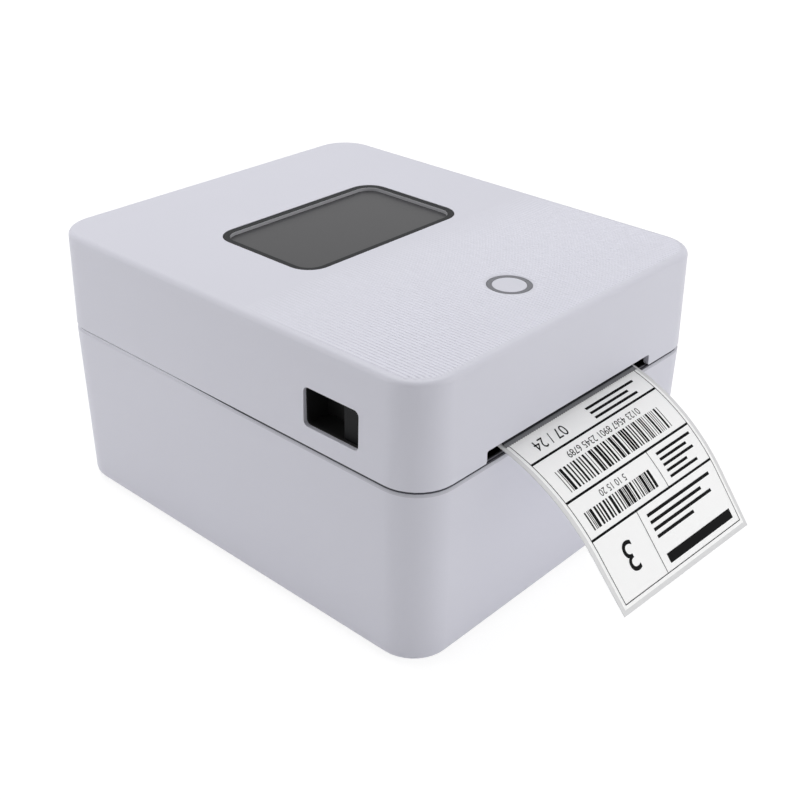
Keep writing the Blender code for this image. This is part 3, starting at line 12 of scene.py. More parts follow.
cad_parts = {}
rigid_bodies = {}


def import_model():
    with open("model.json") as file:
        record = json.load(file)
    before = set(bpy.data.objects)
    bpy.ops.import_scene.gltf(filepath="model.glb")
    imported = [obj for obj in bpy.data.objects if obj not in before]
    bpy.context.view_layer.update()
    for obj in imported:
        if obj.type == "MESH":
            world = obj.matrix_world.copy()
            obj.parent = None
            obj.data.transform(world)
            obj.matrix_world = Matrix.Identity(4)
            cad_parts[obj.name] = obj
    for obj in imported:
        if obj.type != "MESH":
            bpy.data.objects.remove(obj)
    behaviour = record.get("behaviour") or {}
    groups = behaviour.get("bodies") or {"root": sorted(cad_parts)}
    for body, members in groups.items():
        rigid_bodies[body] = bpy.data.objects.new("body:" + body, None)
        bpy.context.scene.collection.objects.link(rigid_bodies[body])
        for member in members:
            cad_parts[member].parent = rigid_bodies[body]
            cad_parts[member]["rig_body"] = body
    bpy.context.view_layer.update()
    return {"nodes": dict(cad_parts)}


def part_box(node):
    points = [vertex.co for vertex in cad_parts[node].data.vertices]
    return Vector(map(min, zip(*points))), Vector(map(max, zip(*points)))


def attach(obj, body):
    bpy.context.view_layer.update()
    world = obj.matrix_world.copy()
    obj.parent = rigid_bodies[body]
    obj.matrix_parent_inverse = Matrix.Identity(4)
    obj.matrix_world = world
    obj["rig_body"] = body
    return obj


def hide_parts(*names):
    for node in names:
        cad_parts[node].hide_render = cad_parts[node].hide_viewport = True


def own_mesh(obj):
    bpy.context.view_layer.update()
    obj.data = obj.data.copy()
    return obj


bl_info = {
    "name": "Label printer looks",
    "version": (1, 0, 0),
    "blender": (4, 5, 0),
    "location": "View3D > Sidebar > Printer",
    "description": "Dresses the CAD frame of a thermal label printer with its shapes and finishes",
    "category": "Object",
}

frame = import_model()

# Places of the CAD frame, in metres: the floor is z = 0 and the label leaves towards -Y
BASE_LOW, BASE_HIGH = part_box("lower_case")
LID_LOW, LID_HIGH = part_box("upper_cover")
RING_LOW, RING_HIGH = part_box("led_ring")
BEZEL_LOW, BEZEL_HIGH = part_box("window_bezel")
ROLL_LOW, ROLL_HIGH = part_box("label_roll")
WEB_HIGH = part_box("label_strip")[1]
BUTTON_AXIS = (RING_LOW + RING_HIGH) / 2
ROLL_AXIS = (ROLL_LOW + ROLL_HIGH) / 2
RECESS_LOW = Vector((0.102, -0.05541, 0.1010))      # the finger recess in the lid's right wall
RECESS_HIGH = Vector((0.105, -0.02301, 0.1198))
SLOT_HALF, SLOT_TOP = 0.0617, 0.0973                # half the label slot's width, and its height
NIP = Vector((0, -0.072688, 0.09756))               # the web's upper face over the platen
NIP_LEAN = math.radians(5.891)                      # how far the web's normal leans forward there
# the rim's painted shade fades out along Y between where the seam starts to close and where it is closed
SEAM_OPEN, SEAM_SHUT = 0.0, 0.066                   # along Y, where the seam starts to close and is closed
SIDES = ((-1, "left"), (1, "right"))


def linear(code):
    """An sRGB hex colour as linear RGBA."""
    channels = [int(code[i:i + 2], 16) / 255 for i in (1, 3, 5)]
    return (*[c / 12.92 if c <= 0.04045 else ((c + 0.055) / 1.055) ** 2.4 for c in channels], 1.0)


# Sizes and colours that a user would change

def colour_setting(name, description, code):
    """A colour, with an sRGB hex code as its default."""
    return bpy.props.FloatVectorProperty(name=name, description=description, subtype="COLOR", size=4,
                                         min=0, max=1, default=linear(code))


def number_setting(name, description, default, unit="LENGTH", **limits):
    """A number, by default a length in metres."""
    return bpy.props.FloatProperty(name=name, description=description, default=default, unit=unit, **limits)


class PrinterCase(bpy.types.PropertyGroup):
    """Shells, button and latches."""
    shell_colour: colour_setting("Shell", "Cool white ABS of the base, the lid and the button", "#D2D2DC")
    latch_colour: colour_setting("Latch", "Black plastic of the latch pads", "#121315")
    ring_colour: colour_setting("Light ring", "Light guide round the feed button, switched off", "#5E5F67")
    rim_round: number_setting("Rim round", "Round of the edges of the lid's openings", 0.0003,
                              min=0.0001, max=0.001)
    rib_pitch: number_setting("Rib pitch", "Distance between the fine ribs on the lid", 0.0020,
                              min=0.001, max=0.01)
    rib_height: number_setting("Rib height", "Height of the fine ribs at the lid's front edge", 0.00040,
                               min=0.00002, max=0.0005)
    rib_rear: number_setting("Rib field's end", "Place along Y where the ribs have faded out", 0.0190)


class PrinterWindow(bpy.types.PropertyGroup):
    """Smoked window in the lid."""
    pane_colour: colour_setting("Pane", "Smoked acrylic", "#38383A")
    bezel_colour: colour_setting("Bezel", "Dark plastic round the pane", "#1D1E20")
    # the bezel wall's light grey is painted light on the bezel's inner wall
    wall_painted_light_colour: colour_setting("Bezel wall", "Polished wall of the bezel inside the window", "#B4B4B8")


class PrinterLabel(bpy.types.PropertyGroup):
    """Label web that leaves the slot."""
    paper_colour: colour_setting("Label", "Coated face of the label", "#FEFEFE")
    liner_colour: colour_setting("Liner", "Glassine liner under the label", "#DCDCDD")
    ink_colour: colour_setting("Print", "Heated thermal coating", "#0B0B0C")
    curl_radius: number_setting("Curl radius", "Radius of the web's upper face outside the slot", 0.1013,
                                min=0.05, max=0.5)
    curl_end: bpy.props.FloatProperty(
        name="Curl end", description="How far the web has turned down where its straight end begins",
        subtype="ANGLE", default=math.radians(50.6), min=0, max=math.radians(90))
    tail_length: number_setting("Straight end", "Length of the web after its curl", 0.028, min=0, max=0.1)
    twist: number_setting("Twist", "How far the free end's right corner hangs lower than the web's middle",
                          0.0032, min=-0.01, max=0.01)
    sag: number_setting("Sag", "How far the free end hangs below the curl's line", 0.0008, min=0, max=0.01)
    margin: number_setting("Liner margin", "Bare liner beside the label", 0.0022, min=0.0005, max=0.01)


class PrinterInside(bpy.types.PropertyGroup):
    """Frame, media and mechanism."""
    frame_colour: colour_setting("Frame", "Grey plastic of the tray, the guides and the inner cover",
                                 "#6E7074")
    gear_colour: colour_setting("Gears", "Natural acetal", "#E4E2D8")
    board_colour: colour_setting("Circuit boards", "Green solder mask", "#1E5A3A")


class PrinterStage(bpy.types.PropertyGroup):
    """Floor, lamps and camera."""
    floor_colour: colour_setting("Floor", "Pale studio floor", "#FFFFFF")
    ambient: number_setting("Ambient", "Level of the even light from all round", 0.27, "NONE", min=0, max=2)
    top_power: number_setting("Top lamp", "Power of the soft box over the printer", 8.9, "POWER", min=0)
    left_power: number_setting("Left lamp", "Power of the soft box at the printer's left", 4.3, "POWER",
                               min=0)
    front_power: number_setting("Front lamp", "Power of the soft box before the printer's right", 6.7,
                                "POWER", min=0)
    lens: number_setting("Lens", "Focal length for a 36 mm wide frame, in millimetres", 55.62, "NONE",
                         min=10, max=300)


# Materials

def add(tree, kind, sockets=None, **settings):
    """Adds a node, sets its properties, and sets or links its inputs."""
    new = tree.nodes.new(kind)
    for name, value in settings.items():
        setattr(new, name, value)
    for name, value in (sockets or {}).items():
        if isinstance(value, bpy.types.NodeSocket):
            tree.links.new(value, new.inputs[name])
        else:
            new.inputs[name].default_value = value
    return new


def base_material(name, colour, roughness, **sockets):
    """A material with its shader's plain values, its node tree and its object coordinates."""
    material = bpy.data.materials.new(name)
    material.use_nodes = True
    tree = material.node_tree
    shader = tree.nodes["Principled BSDF"]
    shader.inputs["Base Color"].default_value = colour
    shader.inputs["Roughness"].default_value = roughness
    for socket, value in sockets.items():
        shader.inputs[socket.replace("_", " ")].default_value = value
    material.diffuse_color = colour
    place = add(tree, "ShaderNodeTexCoord").outputs["Object"]
    return material, tree, shader, place


def shade(colour, factor):
    """A colour made lighter or darker."""
    return (*[channel * factor for channel in colour[:3]], 1.0)


def patterned(tree, colour, relief, depth, strength, tint, dark, light):
    """Presses one pattern into a surface, and lets another tint it between a dark and a light shade."""
    shader = tree.nodes["Principled BSDF"]
    bump = add(tree, "ShaderNodeBump", {"Height": relief, "Distance": depth, "Strength": strength})
    mixed = add(tree, "ShaderNodeMix", {"Factor": tint, "A": shade(colour, dark), "B": shade(colour, light)},
                data_type="RGBA")
    tree.links.new(bump.outputs["Normal"], shader.inputs["Normal"])
    tree.links.new(mixed.outputs["Result"], shader.inputs["Base Color"])


def moulded(name, colour, roughness, grain, depth, drift=0.03, **sockets):
    """Plastic from a spark-eroded mould: an even fine grain breaks up the gloss, and the colour drifts a
    little over a hand's width. The grain is drawn coarser than the real 0.1 mm, so that it shows."""
    hand = 0.07
    material, tree, shader, place = base_material(name, colour, roughness, **sockets)
    grit = add(tree, "ShaderNodeTexNoise", {"Vector": place, "Scale": 1 / grain, "Detail": 3.0,
                                            "Roughness": 0.6}).outputs["Fac"]
    gloss = add(tree, "ShaderNodeMapRange", {"Value": grit, "From Min": 0.3, "From Max": 0.7,
                                             "To Min": roughness - 0.05, "To Max": roughness + 0.05})
    tree.links.new(gloss.outputs["Result"], shader.inputs["Roughness"])
    cloud = add(tree, "ShaderNodeTexNoise", {"Vector": place, "Scale": 1 / hand, "Detail": 1.0})
    patterned(tree, colour, grit, depth, 0.6, cloud.outputs["Fac"], 1 - drift, 1 + drift)
    return material


def drawn_metal(name, colour, roughness, stretch, line=0.0006, depth=0.00001):
    """Rolled, drawn or turned metal: fine lines along one direction give a streaky sheen. stretch gives how
    much the pattern is drawn out along each axis."""
    material, tree, shader, place = base_material(name, colour, roughness, Metallic=1.0)
    along = add(tree, "ShaderNodeMapping", {"Vector": place, "Scale": tuple(1 / s for s in stretch)})
    lines = add(tree, "ShaderNodeTexNoise", {"Vector": along.outputs["Vector"], "Scale": 1 / line,
                                             "Detail": 4.0}).outputs["Fac"]
    gloss = add(tree, "ShaderNodeMapRange", {"Value": lines, "From Min": 0.3, "From Max": 0.7,
                                             "To Min": roughness - 0.08, "To Max": roughness + 0.1})
    tree.links.new(gloss.outputs["Result"], shader.inputs["Roughness"])
    patterned(tree, colour, lines, depth, 0.5, lines, 0.88, 1.08)
    return material


def sheet_paper(name, colour, roughness, fibre=0.0009, depth=0.00001, **sockets):
    """Paper: short felted fibres under a coating, seen as a faint cloudiness. The fibres are drawn coarser
    than they are, so that they show."""
    material, tree, _, place = base_material(name, colour, roughness, **sockets)
    felt = add(tree, "ShaderNodeTexNoise", {"Vector": place, "Scale": 1 / fibre, "Detail": 5.0,
                                            "Roughness": 0.7}).outputs["Fac"]
    patterned(tree, colour, felt, depth, 0.4, felt, 0.975, 1.015)
    return material


def graded(material, axis, start, end, colour):
    """Lets a material's colour go over to another one along an axis, between two places on it."""
    tree = material.node_tree
    place = add(tree, "ShaderNodeTexCoord").outputs["Object"]
    along = add(tree, "ShaderNodeSeparateXYZ", {"Vector": place}).outputs[axis]
    share = add(tree, "ShaderNodeMapRange", {"Value": along, "From Min": start, "From Max": end})
    base = tree.nodes["Principled BSDF"].inputs["Base Color"]
    tint = add(tree, "ShaderNodeMix", {"Factor": share.outputs["Result"], "A": base.links[0].from_socket,
                                       "B": colour}, data_type="RGBA")
    tree.links.new(tint.outputs["Result"], base)
    return material


SATIN = {"roughness": 0.48, "grain": 0.0007, "depth": 0.000018, "drift": 0.012}


def shell_abs():
    """Cool white ABS, moulded with a fine satin grain."""
    return moulded("abs_cool_white", bpy.context.scene.printer_case.shell_colour, **SATIN)


def rim_abs_painted_shade():
    """The same ABS on the base's rim at the parting line, with a coarser grain, darkened as painted shade
    where the lid's edge overhangs it. The painted shade is deepest at the front and fades out towards the
    rear, where the seam closes."""
    colour = bpy.context.scene.printer_case.shell_colour
    rim = moulded("abs_parting_rim", shade(colour, 0.80), roughness=0.6, grain=0.0005, depth=0.00003)
    return graded(rim, "Y", SEAM_OPEN, SEAM_SHUT, shade(colour, 1.0))


def rib_abs_painted_light():
    """The lid's ABS on its ribs, with painted light on their lands: the higher a rib, the lighter its land,
    which strengthens the ribs' shading."""
    look = bpy.context.scene.printer_case
    rib = moulded("abs_ribbed_white", look.shell_colour, **SATIN)
    lit_land_height = LID_HIGH.z + 0.7 * look.rib_height
    return graded(rib, "Z", LID_HIGH.z, lit_land_height, shade(look.shell_colour, 1.12))


def latch_abs():
    """Black ABS of the latch pads, satin."""
    return moulded("abs_latch_black", bpy.context.scene.printer_case.latch_colour, roughness=0.5,
                   grain=0.0006, depth=0.000015, drift=0.06, Specular_IOR_Level=0.12)


def mark_paint():
    """White pad-printed paint of the switch's marks, thin and matt."""
    return moulded("paint_pad_print_white", linear("#E6E6E6"), roughness=0.6, grain=0.0003, depth=0.000006,
                   drift=0.04)


def pocket_abs():
    """Black ABS of the latch pockets, switch and sockets, moulded matt."""
    return moulded("abs_matt_black", linear("#0F0F10"), roughness=0.55, grain=0.0006, depth=0.00002,
                   drift=0.08)


def frame_abs():
    """Grey ABS of the tray, the guides and the inner cover, moulded matt."""
    return moulded("abs_frame_grey", bpy.context.scene.printer_inside.frame_colour, roughness=0.55,
                   grain=0.0008, depth=0.00002, drift=0.04)


def ring_polycarbonate():
    """Frosted polycarbonate light guide: milky, a little see-through at its edge."""
    return moulded("polycarbonate_frosted", bpy.context.scene.printer_case.ring_colour, roughness=0.35,
                   grain=0.0004, depth=0.000008, drift=0.02, IOR=1.58, Subsurface_Weight=0.1,
                   Subsurface_Radius=(0.001, 0.001, 0.001))


def bezel_abs():
    """Dark matt ABS of the window's bezel, which reflects little."""
    return moulded("abs_bezel_dark", bpy.context.scene.printer_window.bezel_colour, roughness=0.62,
                   grain=0.0005, depth=0.00001, Specular_IOR_Level=0.16)


def bezel_wall_painted_light():
    """Inner wall of the bezel, glossier than its face, in a light grey that stands as painted light for the
    light and reflections the wall takes inside the window.
    """
    return moulded("abs_bezel_wall", bpy.context.scene.printer_window.wall_painted_light_colour, roughness=0.30,
                   grain=0.0005, depth=0.000006)


def smoked_acrylic():
    """Cast smoked acrylic with a satin face: dark in the mass, and the surroundings show in it as a soft
    sheen."""
    colour = bpy.context.scene.printer_window.pane_colour
    material, tree, _, place = base_material("acrylic_smoked", colour, 0.32, IOR=1.49,
                                             Specular_IOR_Level=0.22)
    wave, smoke = 0.02, 0.05
    ripple = add(tree, "ShaderNodeTexNoise", {"Vector": place, "Scale": 1 / wave, "Detail": 1.0})
    cloud = add(tree, "ShaderNodeTexNoise", {"Vector": place, "Scale": 1 / smoke, "Detail": 2.0})
    patterned(tree, colour, ripple.outputs["Fac"], 0.00004, 0.4, cloud.outputs["Fac"], 0.94, 1.06)
    return material


def label_paper():
    """Top-coated thermal paper, smooth and almost white."""
    return sheet_paper("paper_thermal_coated", bpy.context.scene.printer_label.paper_colour, 0.5)


def liner_paper():
    """Glassine liner: dense, slightly grey and glossier than the label."""
    return sheet_paper("paper_glassine_liner", bpy.context.scene.printer_label.liner_colour, 0.38)


def thermal_ink():
    """Thermal print: the coating where the head has heated it, near black and matt. Its tiny dots leave the
    black slightly uneven."""
    return sheet_paper("thermal_print_black", bpy.context.scene.printer_label.ink_colour, 0.65, fibre=0.0005,
                       Specular_IOR_Level=0.06)


def wound_paper():
    """Edge of the wound web: hundreds of layers, seen as fine rings round the core. The real layers are
    0.15 mm apart and are drawn 0.9 mm apart, so that they show."""
    colour, layer = linear("#ECECEA"), 0.0009
    material, tree, _, place = base_material("paper_wound_web", colour, 0.6)
    centre = add(tree, "ShaderNodeMapping", {"Vector": place, "Location": tuple(-c for c in ROLL_AXIS)})
    rings = add(tree, "ShaderNodeTexWave", {"Vector": centre.outputs["Vector"], "Scale": 0.314 / layer,
                                            "Distortion": 1.5, "Detail": 1.0, "Detail Scale": 0.4},
                wave_type="RINGS", rings_direction="X").outputs["Fac"]
    patterned(tree, colour, rings, 0.00005, 0.6, rings, 0.86, 1.0)
    return material


def core_board():
    """Grey-brown cardboard tube, wound in a spiral: coarse fibres and flecks."""
    colour, fleck = linear("#A68B6A"), 0.0015
    material, tree, _, place = base_material("cardboard_core", colour, 0.85)
    flecks = add(tree, "ShaderNodeTexNoise", {"Vector": place, "Scale": 1 / fleck, "Detail": 6.0,
                                              "Roughness": 0.75}).outputs["Fac"]
    patterned(tree, colour, flecks, 0.0001, 0.6, flecks, 0.6, 1.3)
    return material


def ground_rubber():
    """Black silicone rubber, ground to size: a matt face with fine scratches across it."""
    return moulded("rubber_ground_black", linear("#232325"), roughness=0.78, grain=0.0005, depth=0.00003,
                   drift=0.15)


def seam_painted_shadow():
    """Dark grey foam strip in the seam, with fine open pores: a dark piece that stands as painted shadow for
    the gap under the lid's edge.
    """
    return moulded("foam_seal_dark", linear("#4A4A50"), roughness=0.9, grain=0.0006, depth=0.00005,
                   drift=0.15, Specular_IOR_Level=0.1)


def foot_rubber():
    """Grey-black foamed rubber of the feet: pores of about a millimetre."""
    colour, pore = linear("#2E2E30"), 0.0012
    material, tree, _, place = base_material("rubber_foam_feet", colour, 0.85)
    pores = add(tree, "ShaderNodeTexVoronoi", {"Vector": place, "Scale": 1 / pore}).outputs["Distance"]
    patterned(tree, colour, pores, 0.0002, 0.7, pores, 0.6, 1.25)
    return material


def turned_steel():
    """Turned and ground steel of shafts and pins, with fine lines round it."""
    return drawn_metal("steel_ground", linear("#C9CACC"), 0.28, stretch=(1, 12, 12))


def plated_steel():
    """Zinc-plated sheet steel of brackets, staples and screws: faint rolling lines."""
    return drawn_metal("steel_zinc_plated", linear("#BFC2C6"), 0.36, stretch=(10, 1, 1), line=0.0012)


def spring_steel():
    """Drawn spring wire, bright and smooth."""
    return drawn_metal("steel_spring_wire", linear("#B9BBBF"), 0.25, stretch=(1, 1, 4), line=0.0004)


def blackened_steel():
    """Chemically blackened steel of the tear bar: near black with a dull metallic sheen."""
    return drawn_metal("steel_blackened", linear("#36373A"), 0.45, stretch=(14, 1, 1), line=0.0009)


def painted_shadow_edge():
    """Satin grey steel with fine grinding lines, on the blade's front row, where its grey stands as the lid's
    painted shadow on the label.
    """
    return drawn_metal("steel_ground_edge", linear("#77787B"), 0.42, stretch=(1, 8, 8), line=0.0005)


def extruded_aluminium():
    """Extruded aluminium of the heat sink: die lines along its length."""
    return drawn_metal("aluminium_extruded", linear("#D3D5D8"), 0.38, stretch=(40, 1, 1), line=0.0010,
                       depth=0.00002)


CERAMIC = "#8B6F54"


def glazed_ceramic():
    """Alumina plate with a brown glass glaze: smooth and glossy, with a cloudy tint."""
    return moulded("ceramic_glazed", linear(CERAMIC), roughness=0.16, grain=0.004, depth=0.000006, drift=0.12,
                   IOR=1.6, Coat_Weight=0.3)


def heater_glaze():
    """Glass glaze over the row of heating dots: a dark, glossy line."""
    return moulded("glass_heater_line", linear("#241C18"), roughness=0.12, grain=0.002, depth=0.000004,
                   drift=0.1, Coat_Weight=0.4)


def gold_conductors():
    """Printed gold conductors that lead to the heating dots: bright lanes with brown ceramic between them.
    The real lanes are 0.13 mm apart and are drawn 0.8 mm apart, so that they show."""
    colour, lane = linear("#C9A45C"), 0.0008
    material, tree, shader, place = base_material("gold_printed_conductors", colour, 0.34)
    lanes = add(tree, "ShaderNodeTexWave", {"Vector": place, "Scale": 0.314 / lane}, bands_direction="X")
    gold = add(tree, "ShaderNodeMapRange", {"Value": lanes.outputs["Fac"], "From Min": 0.45,
                                            "From Max": 0.55})
    tint = add(tree, "ShaderNodeMix", {"Factor": gold.outputs["Result"], "A": linear(CERAMIC), "B": colour},
               data_type="RGBA")
    tree.links.new(gold.outputs["Result"], shader.inputs["Metallic"])
    tree.links.new(tint.outputs["Result"], shader.inputs["Base Color"])
    return material


def gear_acetal():
    """Natural acetal: waxy off-white with a soft gloss, slightly translucent."""
    return moulded("acetal_natural", bpy.context.scene.printer_inside.gear_colour, roughness=0.35,
                   grain=0.0008, depth=0.000008, Subsurface_Weight=0.15,
                   Subsurface_Radius=(0.0015, 0.0014, 0.0012))


def solder_mask():
    """Green solder mask over copper: the tracks under it show as slightly raised, lighter lanes."""
    colour, block_size = bpy.context.scene.printer_inside.board_colour, 0.02
    material, tree, shader, place = base_material("circuit_solder_mask", colour, 0.35, Coat_Weight=0.2)
    lanes = add(tree, "ShaderNodeTexBrick", {"Vector": place, "Scale": 1 / block_size, "Mortar Size": 0.012,
                                             "Brick Width": 1.1, "Row Height": 0.07,
                                             "Color1": shade(colour, 0.9), "Color2": shade(colour, 1.1),
                                             "Mortar": shade(colour, 1.7)},
                offset=0.3, offset_frequency=3)
    relief = add(tree, "ShaderNodeBump", {"Height": lanes.outputs["Fac"], "Distance": 0.00003,
                                          "Strength": 0.5})
    tree.links.new(relief.outputs["Normal"], shader.inputs["Normal"])
    tree.links.new(lanes.outputs["Color"], shader.inputs["Base Color"])
    return material


@functools.cache
def finish(make):
    """A finish's material, made once."""
    return make()


# Shapes

MERGE = 2e-6                    # points of a CAD mesh closer than this are one
FLAT = math.radians(0.5)        # faces that meet at less than this are one
SHARP = math.radians(40)        # edges sharper than this can be rounded
CREASE = math.radians(35)       # edges sharper than this are shaded as edges
AROUND = Vector((0.001, 0.001, 0.001))      # how far round a box its edges are looked for


def node_copy(node):
    """A copy of a CAD node with its triangles merged, and its flat faces made whole."""
    bm = bmesh.new()
    bm.from_mesh(frame["nodes"][node].data)
    bmesh.ops.remove_doubles(bm, verts=bm.verts, dist=MERGE)
    bmesh.ops.dissolve_limit(bm, angle_limit=FLAT, verts=bm.verts, edges=bm.edges)
    return bm


def block(bm, low, high):
    """A block between two corners."""
    low, high = Vector(low), Vector(high)
    bmesh.ops.create_cube(bm, size=1, matrix=Matrix.LocRotScale((low + high) / 2, None, high - low))


def face_outward(bm, outward):
    """Turns each face to look along the direction that outward gives at its middle."""
    for face in bm.faces:
        face.normal_update()
        if face.normal.dot(outward(face.calc_center_median())) < 0:
            face.normal_flip()


def sharp_edges(bm, low, high):
    """Sharp edges inside a box."""
    def inside(point):
        return all(a <= value <= b for a, value, b in zip(low, point, high))
    return [edge for edge in bm.edges if len(edge.link_faces) == 2 and edge.calc_face_angle(0) > SHARP
            and all(inside(v.co) for v in edge.verts)]


def lowest(edge):
    """Height of an edge's lower end."""
    return min(vert.co.z for vert in edge.verts)


def rounded(bm, edges, width, segments=3):
    """Rounds edges with a bevel."""
    bmesh.ops.bevel(bm, geom=edges, offset=width, offset_type="OFFSET", affect="EDGES", segments=segments,
                    profile=0.5, material=-1, clamp_overlap=True)


def piece(name, bm, body, slot, *finishes, replaces=()):
    """An object from a bmesh, shaded, finished and riding on its body."""
    mesh = bpy.data.meshes.new(name)
    bm.to_mesh(mesh)
    bm.free()
    mesh.shade_smooth()
    mesh.set_sharp_from_angle(angle=CREASE)
    for make in finishes:
        mesh.materials.append(finish(make))
    made_object = bpy.data.objects.new(name, mesh)
    bpy.context.scene.collection.objects.link(made_object)
    even = made_object.modifiers.new("even_shading", "WEIGHTED_NORMAL")
    even.keep_sharp = True
    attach(made_object, body)
    if replaces:
        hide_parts(*replaces)
    return made_object


def paint(make, *nodes):
    """Gives CAD nodes that keep their shape a finish."""
    for node in nodes:
        materials = frame["nodes"][node].data.materials
        materials.clear()
        materials.append(finish(make))


def refined(node, slot, make, width, segments=2):
    """A CAD node's copy with rounded edges, in its place."""
    bm = node_copy(node)
    low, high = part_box(node)
    rounded(bm, sharp_edges(bm, low - AROUND, high + AROUND), width, segments)
    piece(node + "_finished", bm, frame["nodes"][node]["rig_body"], slot, make, replaces=(node,))


# Operators

class PRINTER_OT_lid(bpy.types.Operator):
    """Lid shell with rounded openings for the window, the button, the latches and the label"""
    bl_idname = "printer.lid"
    bl_label = "Lid shell"

    skin = 0.0001           # edges less than this below the top belong to it
    recess_grow = 0.0004    # how far round a recess its edges are looked for
    slot_flare = 0.004      # how far beside the slot its flared mouth reaches
    slot_end = 0.0019       # how far beside the slot the middle of its last edge lies
    slot_depth = 0.0006     # how far into the front wall the slot's outer edges reach
    slot_over = 0.0005

    def execute(self, context):
        bm = node_copy("upper_cover")
        top = LID_HIGH.z
        edges = []
        for low, high in ((BEZEL_LOW, BEZEL_HIGH), (RING_LOW, RING_HIGH)):
            found = sharp_edges(bm, low - AROUND, Vector((*high.xy, top)) + AROUND)
            edges += [edge for edge in found if lowest(edge) > top - self.skin]
        grow = Vector((0, self.recess_grow, self.recess_grow))
        low, high = RECESS_LOW - grow, RECESS_HIGH + grow
        for side, _ in SIDES:
            xs = sorted((side * low.x, side * high.x))
            edges += sharp_edges(bm, (xs[0], low.y, low.z), (xs[1], high.y, high.z))
        mouth = SLOT_HALF + self.slot_flare
        slot_low = Vector((-mouth, LID_LOW.y, LID_LOW.z)) - AROUND
        slot_high = Vector((mouth, LID_LOW.y + self.slot_depth, SLOT_TOP + self.slot_over))
        edges += [edge for edge in sharp_edges(bm, slot_low, slot_high)
                  if abs((edge.verts[0].co + edge.verts[1].co).x) / 2 < SLOT_HALF + self.slot_end]
        rounded(bm, list(dict.fromkeys(edges)), context.scene.printer_case.rim_round)
        piece("lid_shell", bm, "lid", "shell", shell_abs, replaces=("upper_cover",))
        return {"FINISHED"}


class PRINTER_OT_base(bpy.types.Operator):
    """Base shell with its rim in painted shade, a dark strip in the seam as painted shadow, the lip, bottom
    plate, feet and bottom screws
    """
    bl_idname = "printer.base"
    bl_label = "Base shell and feet"

    # the seal is a dark strip that stands as painted shadow in the seam's gap under the lid's edge
    shadow_strip_foot = 0.09018     # height where the seal stands on the base's rounded rim
    shadow_strip_top = 0.09108
    shadow_strip_width = 0.0008
    lip_foot = 0.08990      # height where the lip stands, outside the seal
    lip_high = 0.09092      # its height at the rear, just short of the lid
    lip_width = 0.0005
    lip_start = SEAM_OPEN + 0.001
    rear_gap = 0.0720       # the strips leave out the rear slot
    rim_foot = 0.0889       # height where the rim's round begins
    rim_width = 0.0016      # how far in from the case's side the rim reaches
    corner = 0.020          # radius of the rim's corners

    def strip(self, name, foot, top, width, slot, make, start=None):
        """A strip along the rim, drawn up from the rim's own outline at one height. top gives the height of
        its upper edge at a place along Y, and start is where along Y it begins, if not at the front."""
        bm = node_copy("lower_case")
        bmesh.ops.bisect_plane(bm, geom=bm.verts[:] + bm.edges[:] + bm.faces[:], plane_co=(0, 0, foot),
                               plane_no=(0, 0, 1), clear_inner=True, clear_outer=True)
        middle = Vector((0, (BASE_LOW.y + BASE_HIGH.y) / 2, 0))
        rim = Vector((BASE_HIGH.x - self.rim_width, BASE_HIGH.y - middle.y - self.rim_width))
        turn = rim - Vector((self.corner, self.corner))

        def kept(vert):
            x, y = abs(vert.co.x), abs(vert.co.y - middle.y)
            if x > turn.x and y > turn.y:
                return (Vector((x, y)) - turn).length > self.corner
            return x > rim.x or (y > rim.y and (vert.co.y < middle.y or x > self.rear_gap))

        bmesh.ops.delete(bm, geom=[v for v in bm.verts if not kept(v)], context="VERTS")
        if start is not None:
            for place, cut in ((start, True), (SEAM_SHUT, False)):
                bmesh.ops.bisect_plane(bm, geom=bm.verts[:] + bm.edges[:], plane_co=(0, place, 0),
                                       plane_no=(0, 1, 0), clear_inner=cut)
        for vert in bmesh.ops.extrude_edge_only(bm, edges=bm.edges[:])["geom"]:
            if isinstance(vert, bmesh.types.BMVert):
                vert.co.z = top(vert.co.y)
        face_outward(bm, lambda place: Vector((*(place - middle).xy, 0)))
        bmesh.ops.solidify(bm, geom=bm.faces[:], thickness=width)
        piece(name, bm, "base", slot, make)

    def lip_top(self, y):
        """Height of the lip, which rises towards the rear until it almost meets the lid."""
        share = (y - SEAM_OPEN) / (SEAM_SHUT - SEAM_OPEN)
        return self.lip_foot + (self.lip_high - self.lip_foot) * min(max(share, 0.0), 1.0)

    def execute(self, context):
        bm = node_copy("lower_case")
        # the rim's upward faces take the second material, the rim's painted shade
        for face in bm.faces:
            face.normal_update()
            if face.calc_center_median().z > self.rim_foot and face.normal.z > 0.1:
                face.material_index = 1
        piece("base_shell", bm, "base", "shell", shell_abs, rim_abs_painted_shade, replaces=("lower_case",))
        # a dark strip in the seam, as painted shadow in the gap under the lid's edge
        self.strip("seam_seal", self.shadow_strip_foot, lambda y: self.shadow_strip_top, self.shadow_strip_width, "black", seam_painted_shadow)
        self.strip("rim_lip", self.lip_foot, self.lip_top, self.lip_width, "shell", shell_abs, self.lip_start)
        refined("bottom_plate", "shell", shell_abs, 0.0004)
        for end in ("front", "rear"):
            for _, name in SIDES:
                refined(f"foot_{end}_{name}", "rubber", foot_rubber, 0.0005, segments=3)
                paint(plated_steel, f"bottom_screw_{end}_{name}")
        return {"FINISHED"}


